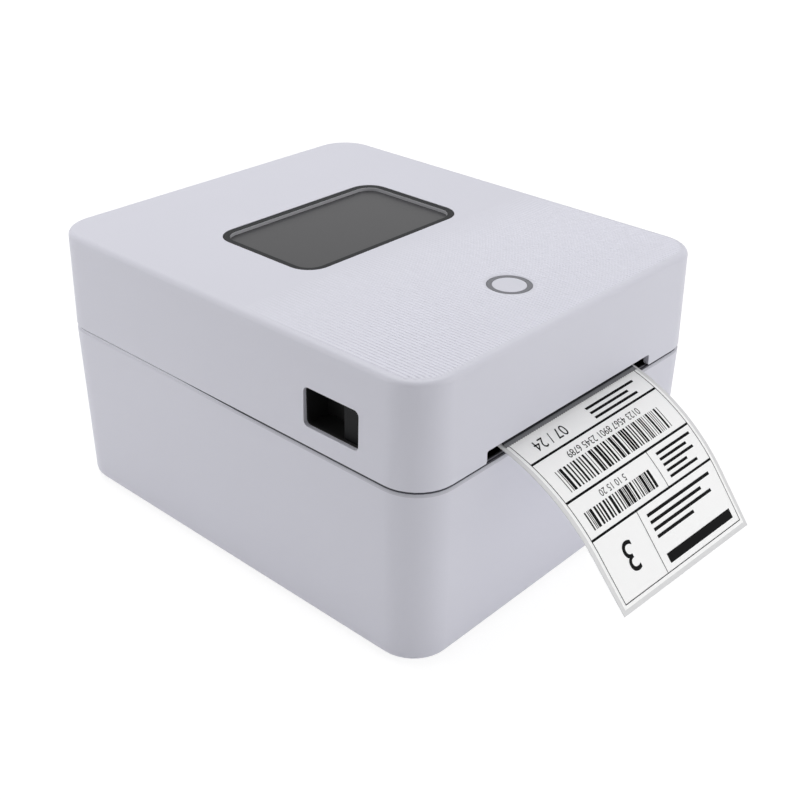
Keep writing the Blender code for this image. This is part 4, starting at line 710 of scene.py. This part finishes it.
class PRINTER_OT_ribs(bpy.types.Operator):
    """Fine ribs on the front half of the lid, fading out towards the window"""
    bl_idname = "printer.ribs"
    bl_label = "Lid ribs"

    corner = 0.0166         # radius of the flat top's corners
    edge = 0.0041           # from the lid's side to its flat top
    side_margin = 0.0010
    button_margin = 0.0010
    stations = 7
    ends = 0.002            # length over which a rib rises at its front and falls at its rear
    sink = 0.00002          # how far a rib's foot lies in the lid
    fade = 0.5              # below 1 the ribs keep their height longer towards the rear
    half_share = 0.48       # half a rib's width as a share of the pitch
    crown = ((-1, 0.0), (-0.72, 0.85), (-0.6, 1.0), (0.6, 1.0), (0.72, 0.85), (1, 0.0))    # across and up

    def rib(self, bm, x, front, rear, look):
        """One rib from front to rear: a flat land between two flanks, made as a strip of points extruded
        backwards. The flanks of neighbours meet in a narrow groove."""
        half = self.half_share * look.rib_pitch
        fade_length = look.rib_rear - LID_LOW.y

        def shape(points, y, scale):
            height = look.rib_height * max(0.0, (look.rib_rear - y) / fade_length) ** self.fade
            for point, (across, up) in zip(points, self.crown):
                point.co = (x + half * across, y, LID_HIGH.z - self.sink + scale * height * up)

        points = [bm.verts.new() for _ in self.crown]
        shape(points, front, 0.0)
        edges = [bm.edges.new(pair) for pair in zip(points, points[1:])]
        ends = min(self.ends, (rear - front) / 4)
        run = rear - front - 2 * ends
        places = [front + ends + run * i / (self.stations - 1) for i in range(self.stations)]
        for y, scale in [(y, 1.0) for y in places] + [(rear, 0.0)]:
            grown = bmesh.ops.extrude_edge_only(bm, edges=edges)["geom"]
            edges = [g for g in grown if isinstance(g, bmesh.types.BMEdge) and len(g.link_faces) == 1
                     and all(v in grown for v in g.verts)]
            points = sorted({v for e in edges for v in e.verts}, key=lambda v: v.co.x)
            shape(points, y, scale)

    def execute(self, context):
        look = context.scene.printer_case
        bm = bmesh.new()
        half_flat = LID_HIGH.x - self.edge
        front_flat = LID_LOW.y + self.edge
        count = int((half_flat - self.side_margin) / look.rib_pitch)
        hole = (RING_HIGH.x - RING_LOW.x) / 2 + self.button_margin
        for number in range(-count, count + 1):
            x = number * look.rib_pitch
            past = max(0.0, abs(x) - (half_flat - self.corner))
            front = front_flat + self.corner - math.sqrt(self.corner ** 2 - past ** 2)
            if abs(x) < hole:
                chord = math.sqrt(hole ** 2 - x ** 2)
                self.rib(bm, x, front, BUTTON_AXIS.y - chord, look)
                front = BUTTON_AXIS.y + chord
            self.rib(bm, x, front, look.rib_rear, look)
        bmesh.ops.recalc_face_normals(bm, faces=bm.faces)
        face_outward(bm, lambda place: Vector((0, 0, 1)))
        # the ribs' material paints their lands lighter, as painted light
        piece("lid_ribs", bm, "lid", "shell", rib_abs_painted_light)
        return {"FINISHED"}


class PRINTER_OT_window(bpy.types.Operator):
    """Smoked pane in its dark bezel, whose face slopes a little inwards"""
    bl_idname = "printer.window"
    bl_label = "Window"

    skin = 0.0001           # points less than this below the bezel's top belong to it
    slope = 0.00026         # how far the bezel's inner edge lies below its outer one
    flange = 0.0052         # from the bezel's flange to inside the visible ring
    edge_round = 0.0002
    pane_lap = 0.00108      # the pane's edge under the bezel
    pane_raise = 0.0008     # how far the pane's middle stands up into the bezel

    def bezel(self):
        """The bezel with its inner edge lowered, and its inner wall in a lighter colour as painted light."""
        bm = node_copy("window_bezel")
        top = BEZEL_HIGH.z
        middle = (BEZEL_LOW + BEZEL_HIGH) / 2
        reach = BEZEL_HIGH - middle - Vector((self.flange, self.flange, 0))
        for vert in bm.verts:
            away = vert.co - middle
            if vert.co.z > top - self.skin and all(abs(away[i]) < reach[i] for i in (0, 1)):
                vert.co.z -= self.slope
        lip = top - 2 * self.slope
        # inward walls near the top take the second material, the wall's painted light
        for face in bm.faces:
            face.normal_update()
            inward = (middle - face.calc_center_median()).xy.dot(face.normal.xy) > 0
            if inward and abs(face.normal.z) < 0.3 and max(v.co.z for v in face.verts) > lip:
                face.material_index = 1
        edges = [edge for edge in sharp_edges(bm, BEZEL_LOW, BEZEL_HIGH + AROUND) if lowest(edge) > lip]
        rounded(bm, edges, self.edge_round, 2)
        piece("bezel_finished", bm, "lid", "dark", bezel_abs, bezel_wall_painted_light, replaces=("window_bezel",))

    def execute(self, context):
        self.bezel()
        pane = node_copy("window_pane")
        face = [max(pane.faces, key=lambda f: f.calc_center_median().z)]
        bmesh.ops.inset_region(pane, faces=face, thickness=self.pane_lap, use_even_offset=True)
        bmesh.ops.inset_region(pane, faces=face, depth=self.pane_raise, use_even_offset=True)
        piece("window_pane_finished", pane, "lid", "smoked", smoked_acrylic, replaces=("window_pane",))
        return {"FINISHED"}


class PRINTER_OT_button(bpy.types.Operator):
    """Feed button with a shallow dish, its light ring, switch and board"""
    bl_idname = "printer.button"
    bl_label = "Feed button"

    skin = 0.0001           # faces less than this below the disc's top belong to it
    grow = 0.0002           # how much wider than in the CAD the disc and the ring's bore are drawn
    edge_round = 0.00015
    dish = 0.0002           # depth of the dish
    dish_rings = 3
    dish_step = 0.0018      # width of one ring of the dish
    ring_depth = 0.0005     # how far below the ring's top its upper edges are looked for

    def widened(self, node):
        """A copy of the button or the ring whose points at the disc's edge stand further out."""
        bm = node_copy(node)
        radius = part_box("feed_button")[1].x - BUTTON_AXIS.x
        for vert in bm.verts:
            away = (vert.co - BUTTON_AXIS).xy
            if abs(away.length - radius) < self.grow:
                vert.co.xy += self.grow * away.normalized()
        return bm

    def execute(self, context):
        bm = self.widened("feed_button")
        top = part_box("feed_button")[1].z - self.skin

        def crown(upright):
            return [face for face in bm.faces
                    if face.normal.z > upright and face.calc_center_median().z > top]

        rounded(bm, list({edge for face in crown(0.9) for edge in face.edges}), self.edge_round, 2)
        disc = crown(0.99)
        for _ in range(self.dish_rings):
            bmesh.ops.inset_region(bm, faces=disc, thickness=self.dish_step,
                                   depth=-self.dish / self.dish_rings, use_even_offset=True)
        piece("feed_button_finished", bm, "feed_button", "shell", shell_abs, replaces=("feed_button",))
        bm = self.widened("led_ring")
        low = Vector((*(RING_LOW - AROUND).xy, RING_HIGH.z - self.ring_depth))
        rounded(bm, sharp_edges(bm, low, RING_HIGH + AROUND), self.edge_round, 2)
        piece("led_ring_finished", bm, "lid", "ring", ring_polycarbonate, replaces=("led_ring",))
        paint(pocket_abs, "tact_switch")
        paint(solder_mask, "button_board")
        return {"FINISHED"}


class PRINTER_OT_latches(bpy.types.Operator):
    """Side latches: pads, pockets, strikes and the black sleeves that line the recesses"""
    bl_idname = "printer.latches"
    bl_label = "Side latches"

    sleeve_mouth = 0.1018   # how far out from the middle a sleeve comes
    sleeve_thickness = 0.0003
    sleeve_gap = 0.00006
    corner = 0.0024

    def sleeve(self, side, name):
        """A thin tube in the lid's opening: a block with rounded edges, opened at both ends."""
        bm = bmesh.new()
        gap = Vector((0, self.sleeve_gap, self.sleeve_gap))
        low, high = RECESS_LOW + gap, RECESS_HIGH - gap
        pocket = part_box(f"latch_pocket_{name}")[1 if side > 0 else 0].x
        xs = sorted((pocket, side * self.sleeve_mouth))
        block(bm, (xs[0], low.y, low.z), (xs[1], high.y, high.z))
        along = [e for e in bm.edges if abs((e.verts[0].co - e.verts[1].co).x) > MERGE]
        rounded(bm, along, self.corner, 5)
        bmesh.ops.delete(bm, geom=[f for f in bm.faces if abs(f.normal.x) > 0.9], context="FACES_ONLY")
        bmesh.ops.solidify(bm, geom=bm.faces[:], thickness=self.sleeve_thickness)
        piece(f"recess_sleeve_{name}", bm, "lid", "black", pocket_abs)

    def execute(self, context):
        for side, name in SIDES:
            self.sleeve(side, name)
            refined(f"latch_{name}", "dark", latch_abs, 0.0006, segments=3)
            paint(pocket_abs, f"latch_pocket_{name}")
            paint(plated_steel, f"latch_strike_{name}")
        return {"FINISHED"}


class PRINTER_OT_label(bpy.types.Operator):
    """Label web over the platen and out of the slot: liner, label and a plain print"""
    bl_idname = "printer.label"
    bl_label = "Label web"

    step = 0.0020           # length of one facet along the web
    label_lift = 0.00008    # the label's thickness over the liner
    print_lift = 0.00016
    liner_thickness = 0.0003
    gap = (-0.0025, 0.0005)             # bare liner between two labels, along from the nip
    ends = (0.0005, 0.004)              # from the web's rear end to the liner and to the last label
    inset = 0.0016                      # from the label's edge to the print's frame
    near = 0.0100                       # where the print's frame begins
    fine, heavy = 0.0004, 0.0011        # widths of its lines
    rules = (0.0310, 0.0530, 0.0720)    # heavy lines across, counted from the nip
    unit = 0.00045                      # narrowest bar of a striped field

    def on_web(self, look, across, along, lift):
        """A point of the web: along is counted from the nip towards the free end."""
        curl = look.curl_radius * (look.curl_end - NIP_LEAN)
        curled = min(max(along, 0.0), curl)
        angle = NIP_LEAN + curled / look.curl_radius
        normal = Vector((0, -math.sin(angle), math.cos(angle)))
        forward = Vector((0, -math.cos(angle), -math.sin(angle)))
        first = Vector((0, -math.sin(NIP_LEAN), math.cos(NIP_LEAN)))
        point = NIP + look.curl_radius * (normal - first) + forward * (along - curled)
        share = max(along, 0.0) / (curl + look.tail_length)
        drop = (look.sag + look.twist * across / WEB_HIGH.x) * share ** 2
        return point + lift * normal + Vector((across, 0, -drop))

    def bend(self, look, bm, lift):
        """Lays a flat drawing (across, along, height) on the web."""
        for vert in bm.verts:
            vert.co = self.on_web(look, vert.co.x, vert.co.y, lift + vert.co.z)

    def bar(self, bm, left, right, start, end):
        """A printed or cut rectangle, in facets along the web."""
        rows = max(1, math.ceil((end - start) / self.step))
        place = Matrix.LocRotScale(((left + right) / 2, (start + end) / 2, 0), None,
                                   ((right - left) / 2, (end - start) / 2, 1))
        bmesh.ops.create_grid(bm, x_segments=1, y_segments=rows, size=1, matrix=place)

    def frame_lines(self, bm, left, right, start, end):
        """A rectangle's outline in fine lines."""
        line = self.fine
        self.bar(bm, left, right, start, start + line)
        self.bar(bm, left, right, end - line, end)
        self.bar(bm, left, left + line, start + line, end - line)
        self.bar(bm, right - line, right, start + line, end - line)

    def stripes(self, bm, left, right, start, end, seed):
        """A plain field of bars and gaps of one to four units, repeated from a small number sequence."""
        across = left
        state = seed
        dark = True
        while across < right - 4 * self.unit:
            state = (state * 1103515245 + 12345) % 2147483648
            width = self.unit * (1 + (state >> 16) % (4 if dark else 3))
            if dark:
                self.bar(bm, across, across + width, start, end)
            across += width
            dark = not dark

    def text_lines(self, bm, left, start, lengths, height, pitch):
        """Bars that stand for lines of small print."""
        for number, length in enumerate(lengths):
            self.bar(bm, left, left + length, start + number * pitch, start + number * pitch + height)

    def digits(self, bm, words, across, along, size):
        """Plain numbers, upright towards the free end."""
        curve = bpy.data.curves.new("digits", "FONT")
        curve.body = words
        curve.size = size
        curve.align_x = "CENTER"
        text = bpy.data.objects.new("digits", curve)
        bpy.context.scene.collection.objects.link(text)
        bpy.context.view_layer.update()
        mesh = bpy.data.meshes.new_from_object(text)
        mesh.transform(Matrix.Translation((across, along, 0)) @ Matrix.Scale(-1, 4, (1, 0, 0)))
        bm.from_mesh(mesh)
        bpy.data.objects.remove(text)
        bpy.data.meshes.remove(mesh)

    def sheet(self, name, look, make, half, stretches, thickness, lift, replaces=()):
        """A sheet of the web in one or more stretches along it."""
        bm = bmesh.new()
        for start, end in stretches:
            self.bar(bm, -half, half, start, end)
        bmesh.ops.solidify(bm, geom=bm.faces[:], thickness=thickness)
        self.bend(look, bm, lift)
        bmesh.ops.recalc_face_normals(bm, faces=bm.faces)
        return piece(name, bm, "base", "paper", make, replaces=replaces)

    def drawing(self, look, half, far):
        """The print: a frame in four fields, from the slot down a date, two striped fields with numbers and
        lines, and a large number beside some lines."""
        bm = bmesh.new()
        first, second, third = self.rules
        self.frame_lines(bm, -half, half, self.near, far)
        for rule in self.rules:
            self.bar(bm, -half, half, rule, rule + self.heavy)
        self.bar(bm, 0.0120, 0.0120 + self.fine, second + self.heavy, third)
        self.bar(bm, -0.0150, -0.0150 + self.fine, third + self.heavy, far)
        self.text_lines(bm, 0.0030, first - 0.0092, (0.0380, 0.0300, 0.0340), height=0.0013, pitch=0.0030)
        self.digits(bm, "07 / 24", -0.0270, first - 0.0084, size=0.0080)
        self.stripes(bm, -0.0410, 0.0410, first + 0.0085, first + 0.0198, seed=7)
        self.digits(bm, "0123 4567 8901 2345 6789", 0, first + 0.0036, size=0.0050)
        self.text_lines(bm, 0.0170, second + 0.0037, (0.0280, 0.0220, 0.0250, 0.0170, 0.0230), height=0.0013,
                        pitch=0.0029)
        self.stripes(bm, -0.0430, 0.0070, second + 0.0078, second + 0.0165, seed=23)
        self.digits(bm, "5 10 15 20", -0.0180, second + 0.0032, size=0.0046)
        self.digits(bm, "3", -0.0310, third + 0.0085, size=0.0200)
        self.text_lines(bm, -0.0100, third + 0.0045, (0.0520, 0.0420, 0.0480, 0.0300), height=0.0015,
                        pitch=0.0034)
        self.bar(bm, -0.0100, 0.0440, far - 0.0075, far - 0.0030)
        self.bend(look, bm, self.print_lift)
        for face in bm.faces:
            face.normal_update()
        return piece("label_print", bm, "base", "paper", thermal_ink)

    def execute(self, context):
        look = context.scene.printer_label
        side = WEB_HIGH.x - look.margin
        end = look.curl_radius * (look.curl_end - NIP_LEAN) + look.tail_length
        rear = -(WEB_HIGH.y - NIP.y) / math.cos(NIP_LEAN)
        liner = self.sheet("label_liner", look, liner_paper, WEB_HIGH.x, [(rear + self.ends[0], end)],
                           self.liner_thickness, 0, replaces=("label_strip",))
        stretches = [(self.gap[1], end - look.margin), (rear + self.ends[1], self.gap[0])]
        label = self.sheet("label_face", look, label_paper, side, stretches, self.label_lift, self.label_lift)
        ink = self.drawing(look, side - self.inset, end - look.margin - self.inset)
        for layer in (liner, label, ink):
            layer.visible_shadow = False
        return {"FINISHED"}


class PRINTER_OT_media(bpy.types.Operator):
    """Roll of labels on its core, and the sliding media guides"""
    bl_idname = "printer.media"
    bl_label = "Roll and guides"

    label_lift = 0.00008    # the labels' thickness over the liner
    gap = 0.0030            # bare liner between two labels
    first_gap = math.radians(62)
    steps = 60              # facets of one label round the roll
    edge_round = 0.0004

    def roll_labels(self, look):
        """The two labels on the roll's outer turn, each drawn round the roll from its front edge."""
        bm = bmesh.new()
        half = WEB_HIGH.x - look.margin
        radius = ROLL_HIGH.z - ROLL_AXIS.z + self.label_lift
        for start in (self.first_gap, self.first_gap + math.pi):
            out = Vector((0, math.cos(start), math.sin(start)))
            ends = [bm.verts.new(ROLL_AXIS + radius * out + Vector((x, 0, 0))) for x in (-half, half)]
            bmesh.ops.spin(bm, geom=ends + [bm.edges.new(ends)], cent=ROLL_AXIS, axis=(1, 0, 0),
                           angle=math.pi - self.gap / radius, steps=self.steps)
        face_outward(bm, lambda place: Vector((0, *(place - ROLL_AXIS).yz)))
        bmesh.ops.solidify(bm, geom=bm.faces[:], thickness=self.label_lift)
        piece("roll_labels", bm, "roll", "paper", label_paper)

    def execute(self, context):
        bm = node_copy("label_roll")
        for face in bm.faces:
            face.normal_update()
            face.material_index = int(abs(face.normal.x) < 0.5)
        rounded(bm, sharp_edges(bm, ROLL_LOW - AROUND, ROLL_HIGH + AROUND), self.edge_round, 2)
        piece("label_roll_finished", bm, "roll", "paper", wound_paper, liner_paper, replaces=("label_roll",))
        self.roll_labels(context.scene.printer_label)
        paint(core_board, "roll_core")
        for _, name in SIDES:
            refined(f"media_guide_{name}", "frame", frame_abs, 0.0004)
        paint(gear_acetal, "guide_pinion")
        return {"FINISHED"}


class PRINTER_OT_tray(bpy.types.Operator):
    """Media tray, web sensor and inner cover"""
    bl_idname = "printer.tray"
    bl_label = "Tray and inner cover"

    def execute(self, context):
        paint(frame_abs, "media_tray", "inner_cover")
        paint(pocket_abs, "media_sensor")
        paint(plated_steel, "lid_screw_left", "lid_screw_right")
        paint(turned_steel, "hinge_pin_left", "hinge_pin_right")
        return {"FINISHED"}


class PRINTER_OT_drive(bpy.types.Operator):
    """Platen, gears and stepper motor"""
    bl_idname = "printer.drive"
    bl_label = "Feed drive"

    def execute(self, context):
        refined("platen_rubber", "rubber", ground_rubber, 0.0003)
        paint(turned_steel, "platen_shaft", "motor_pinion")
        paint(gear_acetal, "platen_gear", "idler_gear", "platen_bush_left", "platen_bush_right")
        paint(plated_steel, "motor_bracket", "stepper_motor")
        return {"FINISHED"}


class PRINTER_OT_head(bpy.types.Operator):
    """Print head, its bridge, and the tear bar with a serrated blade that stands as painted shadow on the
    label at the slot
    """
    bl_idname = "printer.head"
    bl_label = "Print head"

    # the blade is a dark sheet that stands as painted shadow at the slot
    blade_seat = 0.0008     # from the tear bar's foot up to the blade
    blade_bend = Vector((0, -0.0892, 0.0951))
    blade_front = Vector((0, -0.0911, 0.0945))
    blade_thickness = 0.0004
    teeth = 64
    tooth = 0.00035
    bands = (0.0006, -0.0006, -0.0050)      # forward from the nip: heater line, then conductors behind it

    def blade(self, look):
        """A bent sheet from the tear bar's foot to the slot's mouth, as wide as the label, with a finely
        serrated front edge. It is a dark piece put as painted shadow: its black rear row stands for the gap
        under the lid's edge, and its grey front row for the lid's shadow on the label."""
        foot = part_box("tear_bar")[0]
        corners = (Vector((0, foot.y, foot.z + self.blade_seat)), self.blade_bend, self.blade_front)
        half = WEB_HIGH.x - look.margin
        forward = (corners[2] - corners[1]).normalized()
        bm = bmesh.new()
        bmesh.ops.create_grid(bm, x_segments=2 * self.teeth, y_segments=2, size=1)
        for vert in bm.verts:
            number = round((vert.co.x + 1) * self.teeth)
            row = round(1 - vert.co.y)
            notch = self.tooth * (number % 2) if row == 2 else 0
            vert.co = corners[row] - notch * forward + Vector((vert.co.x * half, 0, 0))
        # rear row black and front row grey: painted shadow under the lid's edge and on the label
        for face in bm.faces:
            face.normal_update()
            face.material_index = int(face.calc_center_median().y < self.blade_bend.y)
        bmesh.ops.solidify(bm, geom=bm.faces[:], thickness=self.blade_thickness)
        bmesh.ops.recalc_face_normals(bm, faces=bm.faces)
        piece("tear_blade", bm, "lid", "blackened", blackened_steel, painted_shadow_edge)

    def ceramic(self):
        """The ceramic plate, whose lower face is split into bands: the heater line over the platen, and the
        conductors behind it."""
        bm = node_copy("print_head_ceramic")
        down = min(bm.faces, key=lambda face: face.normal.z).normal.copy()
        forward = Vector((1, 0, 0)).cross(-down)

        def lower():
            for face in bm.faces:
                face.normal_update()
            return [face for face in bm.faces if face.normal.dot(down) > 0.999]

        for reach in self.bands:
            faces = lower()
            edges = list({edge for face in faces for edge in face.edges})
            verts = list({vert for face in faces for vert in face.verts})
            bmesh.ops.bisect_plane(bm, geom=faces + edges + verts, plane_co=NIP + reach * forward,
                                   plane_no=forward)
        for face in lower():
            place = (face.calc_center_median() - NIP).dot(forward)
            face.material_index = sum(place < reach for reach in self.bands) % 3
        piece("print_head_ceramic_finished", bm, "print_head", "ceramic", glazed_ceramic, heater_glaze,
              gold_conductors, replaces=("print_head_ceramic",))

    def execute(self, context):
        self.blade(context.scene.printer_label)
        self.ceramic()
        paint(extruded_aluminium, "print_head_heatsink")
        paint(plated_steel, "head_bridge")
        paint(blackened_steel, "tear_bar")
        return {"FINISHED"}


class PRINTER_OT_springs(bpy.types.Operator):
    """Springs that press the latches back and the print head down"""
    bl_idname = "printer.springs"
    bl_label = "Springs"

    head_travel = 0.0015
    latch_travel = 0.0050
    spare = 0.0001          # how much shorter than its room a pressed spring gets

    def execute(self, context):
        lean = (0, -math.sin(NIP_LEAN), math.cos(NIP_LEAN))
        for _, name in SIDES:
            for node, joint, axis, travel in (
                    (f"latch_spring_{name}", f"latch_{name}_slide", (0, 1, 0), self.latch_travel),
                    (f"head_spring_{name}", "print_head_float", lean, self.head_travel)):
                bm = node_copy(node)
                axis = Vector(axis)
                coil = piece(node + "_coil", bm, "lid", "steel", spring_steel, replaces=(node,))
                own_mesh(coil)
        return {"FINISHED"}


class PRINTER_OT_sockets(bpy.types.Operator):
    """Main board, rear sockets and power switch"""
    bl_idname = "printer.sockets"
    bl_label = "Board and sockets"

    mark_size = 0.0016      # half a mark's height
    mark_line = 0.0005
    mark_lift = 0.00003

    def marks(self):
        """A painted bar and ring, for on and off, on the rocker's two faces."""
        rocker = node_copy("power_rocker")
        rear = sorted((face for face in rocker.faces if face.normal.y > 0.7),
                      key=lambda face: face.calc_area())
        lower, upper = sorted(rear[-2:], key=lambda face: face.calc_center_median().z)
        ring_place, bar_place = [
            Matrix.LocRotScale(face.calc_center_median() + self.mark_lift * face.normal,
                               face.normal.to_track_quat("Z", "X"), None) for face in (lower, upper)]
        rocker.free()
        bm = bmesh.new()
        ring = bmesh.ops.create_circle(bm, cap_ends=True, radius=self.mark_size, segments=28,
                                       matrix=ring_place)
        disc = list(ring["verts"][0].link_faces)
        bmesh.ops.inset_region(bm, faces=disc, thickness=self.mark_line, use_boundary=True)
        bmesh.ops.delete(bm, geom=disc, context="FACES")
        bar = Matrix.Diagonal((self.mark_size, self.mark_line / 2, 1, 1))
        bmesh.ops.create_grid(bm, x_segments=1, y_segments=1, size=1, matrix=bar_place @ bar)
        face_outward(bm, lambda place: Vector((0, 1, 0)))
        piece("rocker_marks", bm, "power_rocker", "shell", mark_paint)

    def execute(self, context):
        self.marks()
        paint(solder_mask, "main_board")
        paint(plated_steel, "usb_socket")
        paint(pocket_abs, "power_jack", "switch_housing")
        refined("power_rocker", "dark", latch_abs, 0.0004)
        return {"FINISHED"}


class PRINTER_OT_stage(bpy.types.Operator):
    """Floor, lamps, surroundings and camera"""
    bl_idname = "printer.stage"
    bl_label = "Stage"

    floor_half = 6
    floor_drop = 0.0002         # the floor lies this far below the feet
    glow_share = 0.75           # share of its glow in what the camera sees of the floor
    glow_near, glow_far = 1.14, 1.4
    glow_from, glow_to = 0.6, 1.4       # distances from the middle between which the glow rises
    aim = Vector((0, 0.03, 0.08))       # where the lamps point
    lamps = (("top_box", (0.05, 0.30, 1.25), 1.0, "top_power"),         # name, place, size and setting
             ("left_box", (-1.09, 0.71, 0.36), 0.9, "left_power"),
             ("front_box", (0.42, -1.20, 0.42), 1.0, "front_power"))
    camera_place = (-0.4125, -0.358808, 0.3685)
    camera_turn = (-47.75, 29.28, 0.76)     # azimuth, elevation and roll in degrees

    def rays(self, tree, *kinds):
        """A socket that is 1 for rays of any of these kinds, and otherwise 0."""
        path = add(tree, "ShaderNodeLightPath").outputs
        found = path[kinds[0]]
        for kind in kinds[1:]:
            pair = {0: found, 1: path[kind]}
            found = add(tree, "ShaderNodeMath", pair, operation="MAXIMUM").outputs["Value"]
        return found

    def floor(self, look):
        """A pale floor that keeps the printer's shadow, and looks white to the camera. Far from the lamps it
        glows more, so that it stays white up to its edge."""
        bm = bmesh.new()
        bmesh.ops.create_grid(bm, x_segments=1, y_segments=1, size=self.floor_half)
        mesh = bpy.data.meshes.new("floor")
        bm.to_mesh(mesh)
        bm.free()
        floor = bpy.data.objects.new("floor", mesh)
        floor.location.z = -self.floor_drop
        bpy.context.scene.collection.objects.link(floor)
        material = bpy.data.materials.new("studio_floor")
        material.use_nodes = True
        tree = material.node_tree
        tree.nodes.remove(tree.nodes["Principled BSDF"])
        seen = self.rays(tree, "Is Camera Ray", "Is Glossy Ray")
        share = add(tree, "ShaderNodeMath", {0: seen, 1: self.glow_share}, operation="MULTIPLY")
        matt = add(tree, "ShaderNodeBsdfDiffuse", {"Color": look.floor_colour})
        place = add(tree, "ShaderNodeTexCoord").outputs["Object"]
        away = add(tree, "ShaderNodeVectorMath", {0: place}, operation="LENGTH")
        far = add(tree, "ShaderNodeMapRange", {"Value": away.outputs["Value"], "From Min": self.glow_from,
                                               "From Max": self.glow_to, "To Min": self.glow_near,
                                               "To Max": self.glow_far})
        glow = add(tree, "ShaderNodeEmission", {"Color": look.floor_colour,
                                                "Strength": far.outputs["Result"]})
        mixed = add(tree, "ShaderNodeMixShader", {0: share.outputs["Value"], 1: matt.outputs[0],
                                                  2: glow.outputs[0]})
        tree.links.new(mixed.outputs[0], tree.nodes["Material Output"].inputs["Surface"])
        mesh.materials.append(material)

    def lamp(self, name, place, size, power):
        """A round soft box that points at the printer."""
        light = bpy.data.lights.new(name, "AREA")
        light.shape = "DISK"
        light.size = size
        light.energy = power
        lamp = bpy.data.objects.new(name, light)
        lamp.location = place
        lamp.rotation_euler = (Vector(place) - self.aim).to_track_quat("Z", "Y").to_euler()
        bpy.context.scene.collection.objects.link(lamp)

    def surroundings(self, look):
        """Even light from all round, and a white background to the camera and in reflections."""
        world = bpy.data.worlds.new("studio")
        bpy.context.scene.world = world
        world.use_nodes = True
        tree = world.node_tree
        seen = self.rays(tree, "Is Camera Ray", "Is Glossy Ray", "Is Transmission Ray")
        even = add(tree, "ShaderNodeBackground", {"Color": linear("#FFFFFF"), "Strength": look.ambient})
        white = add(tree, "ShaderNodeBackground", {"Color": linear("#FFFFFF"), "Strength": 1.0})
        mixed = add(tree, "ShaderNodeMixShader", {0: seen, 1: even.outputs[0], 2: white.outputs[0]})
        tree.links.new(mixed.outputs[0], tree.nodes["World Output"].inputs["Surface"])

    def camera(self, look):
        """The photo's camera, from its place and its turn."""
        azimuth, elevation, roll = (math.radians(angle) for angle in self.camera_turn)
        back = Vector((math.sin(azimuth) * math.cos(elevation), -math.cos(azimuth) * math.cos(elevation),
                       math.sin(elevation)))
        right = Vector((math.cos(azimuth), math.sin(azimuth), 0))
        up = back.cross(right)
        level = math.cos(roll) * right + math.sin(roll) * up
        tall = math.cos(roll) * up - math.sin(roll) * right
        data = bpy.data.cameras.new("camera")
        data.lens = look.lens
        data.sensor_width = 36
        data.clip_start = 0.01
        camera = bpy.data.objects.new("camera", data)
        turn = Matrix((level, tall, back)).transposed().to_4x4()
        camera.matrix_world = Matrix.Translation(self.camera_place) @ turn
        bpy.context.scene.collection.objects.link(camera)
        bpy.context.scene.camera = camera

    def execute(self, context):
        look = context.scene.printer_stage
        context.scene.view_settings.view_transform = "Standard"
        self.floor(look)
        self.surroundings(look)
        for name, place, size, power in self.lamps:
            self.lamp(name, place, size, getattr(look, power))
        self.camera(look)
        return {"FINISHED"}


class PRINTER_PT_looks(bpy.types.Panel):
    """Lists the printer's sizes, colours and pieces"""
    bl_idname = "PRINTER_PT_looks"
    bl_label = "Label printer"
    bl_space_type = "VIEW_3D"
    bl_region_type = "UI"
    bl_category = "Printer"

    def draw(self, context):
        for group, name in GROUPS.items():
            box = self.layout.box()
            box.label(text=group.__doc__)
            for setting in group.__annotations__:
                box.prop(getattr(context.scene, name), setting)
        for operator in OPERATORS:
            self.layout.operator(operator.bl_idname)


GROUPS = {PrinterCase: "printer_case", PrinterWindow: "printer_window", PrinterLabel: "printer_label",
          PrinterInside: "printer_inside", PrinterStage: "printer_stage"}
OPERATORS = (PRINTER_OT_stage, PRINTER_OT_base, PRINTER_OT_lid, PRINTER_OT_ribs, PRINTER_OT_window,
             PRINTER_OT_button, PRINTER_OT_latches, PRINTER_OT_label, PRINTER_OT_media, PRINTER_OT_tray,
             PRINTER_OT_drive, PRINTER_OT_head, PRINTER_OT_springs, PRINTER_OT_sockets)


def register():
    for group, name in GROUPS.items():
        bpy.utils.register_class(group)
        setattr(bpy.types.Scene, name, bpy.props.PointerProperty(type=group))
    for operator in OPERATORS:
        bpy.utils.register_class(operator)
    bpy.utils.register_class(PRINTER_PT_looks)


def unregister():
    bpy.utils.unregister_class(PRINTER_PT_looks)
    for operator in reversed(OPERATORS):
        bpy.utils.unregister_class(operator)
    for group, name in reversed(GROUPS.items()):
        delattr(bpy.types.Scene, name)
        bpy.utils.unregister_class(group)


def main():
    register()
    for operator in OPERATORS:
        section, name = operator.bl_idname.split(".")
        getattr(getattr(bpy.ops, section), name)()


if __name__ == "__main__":
    main()
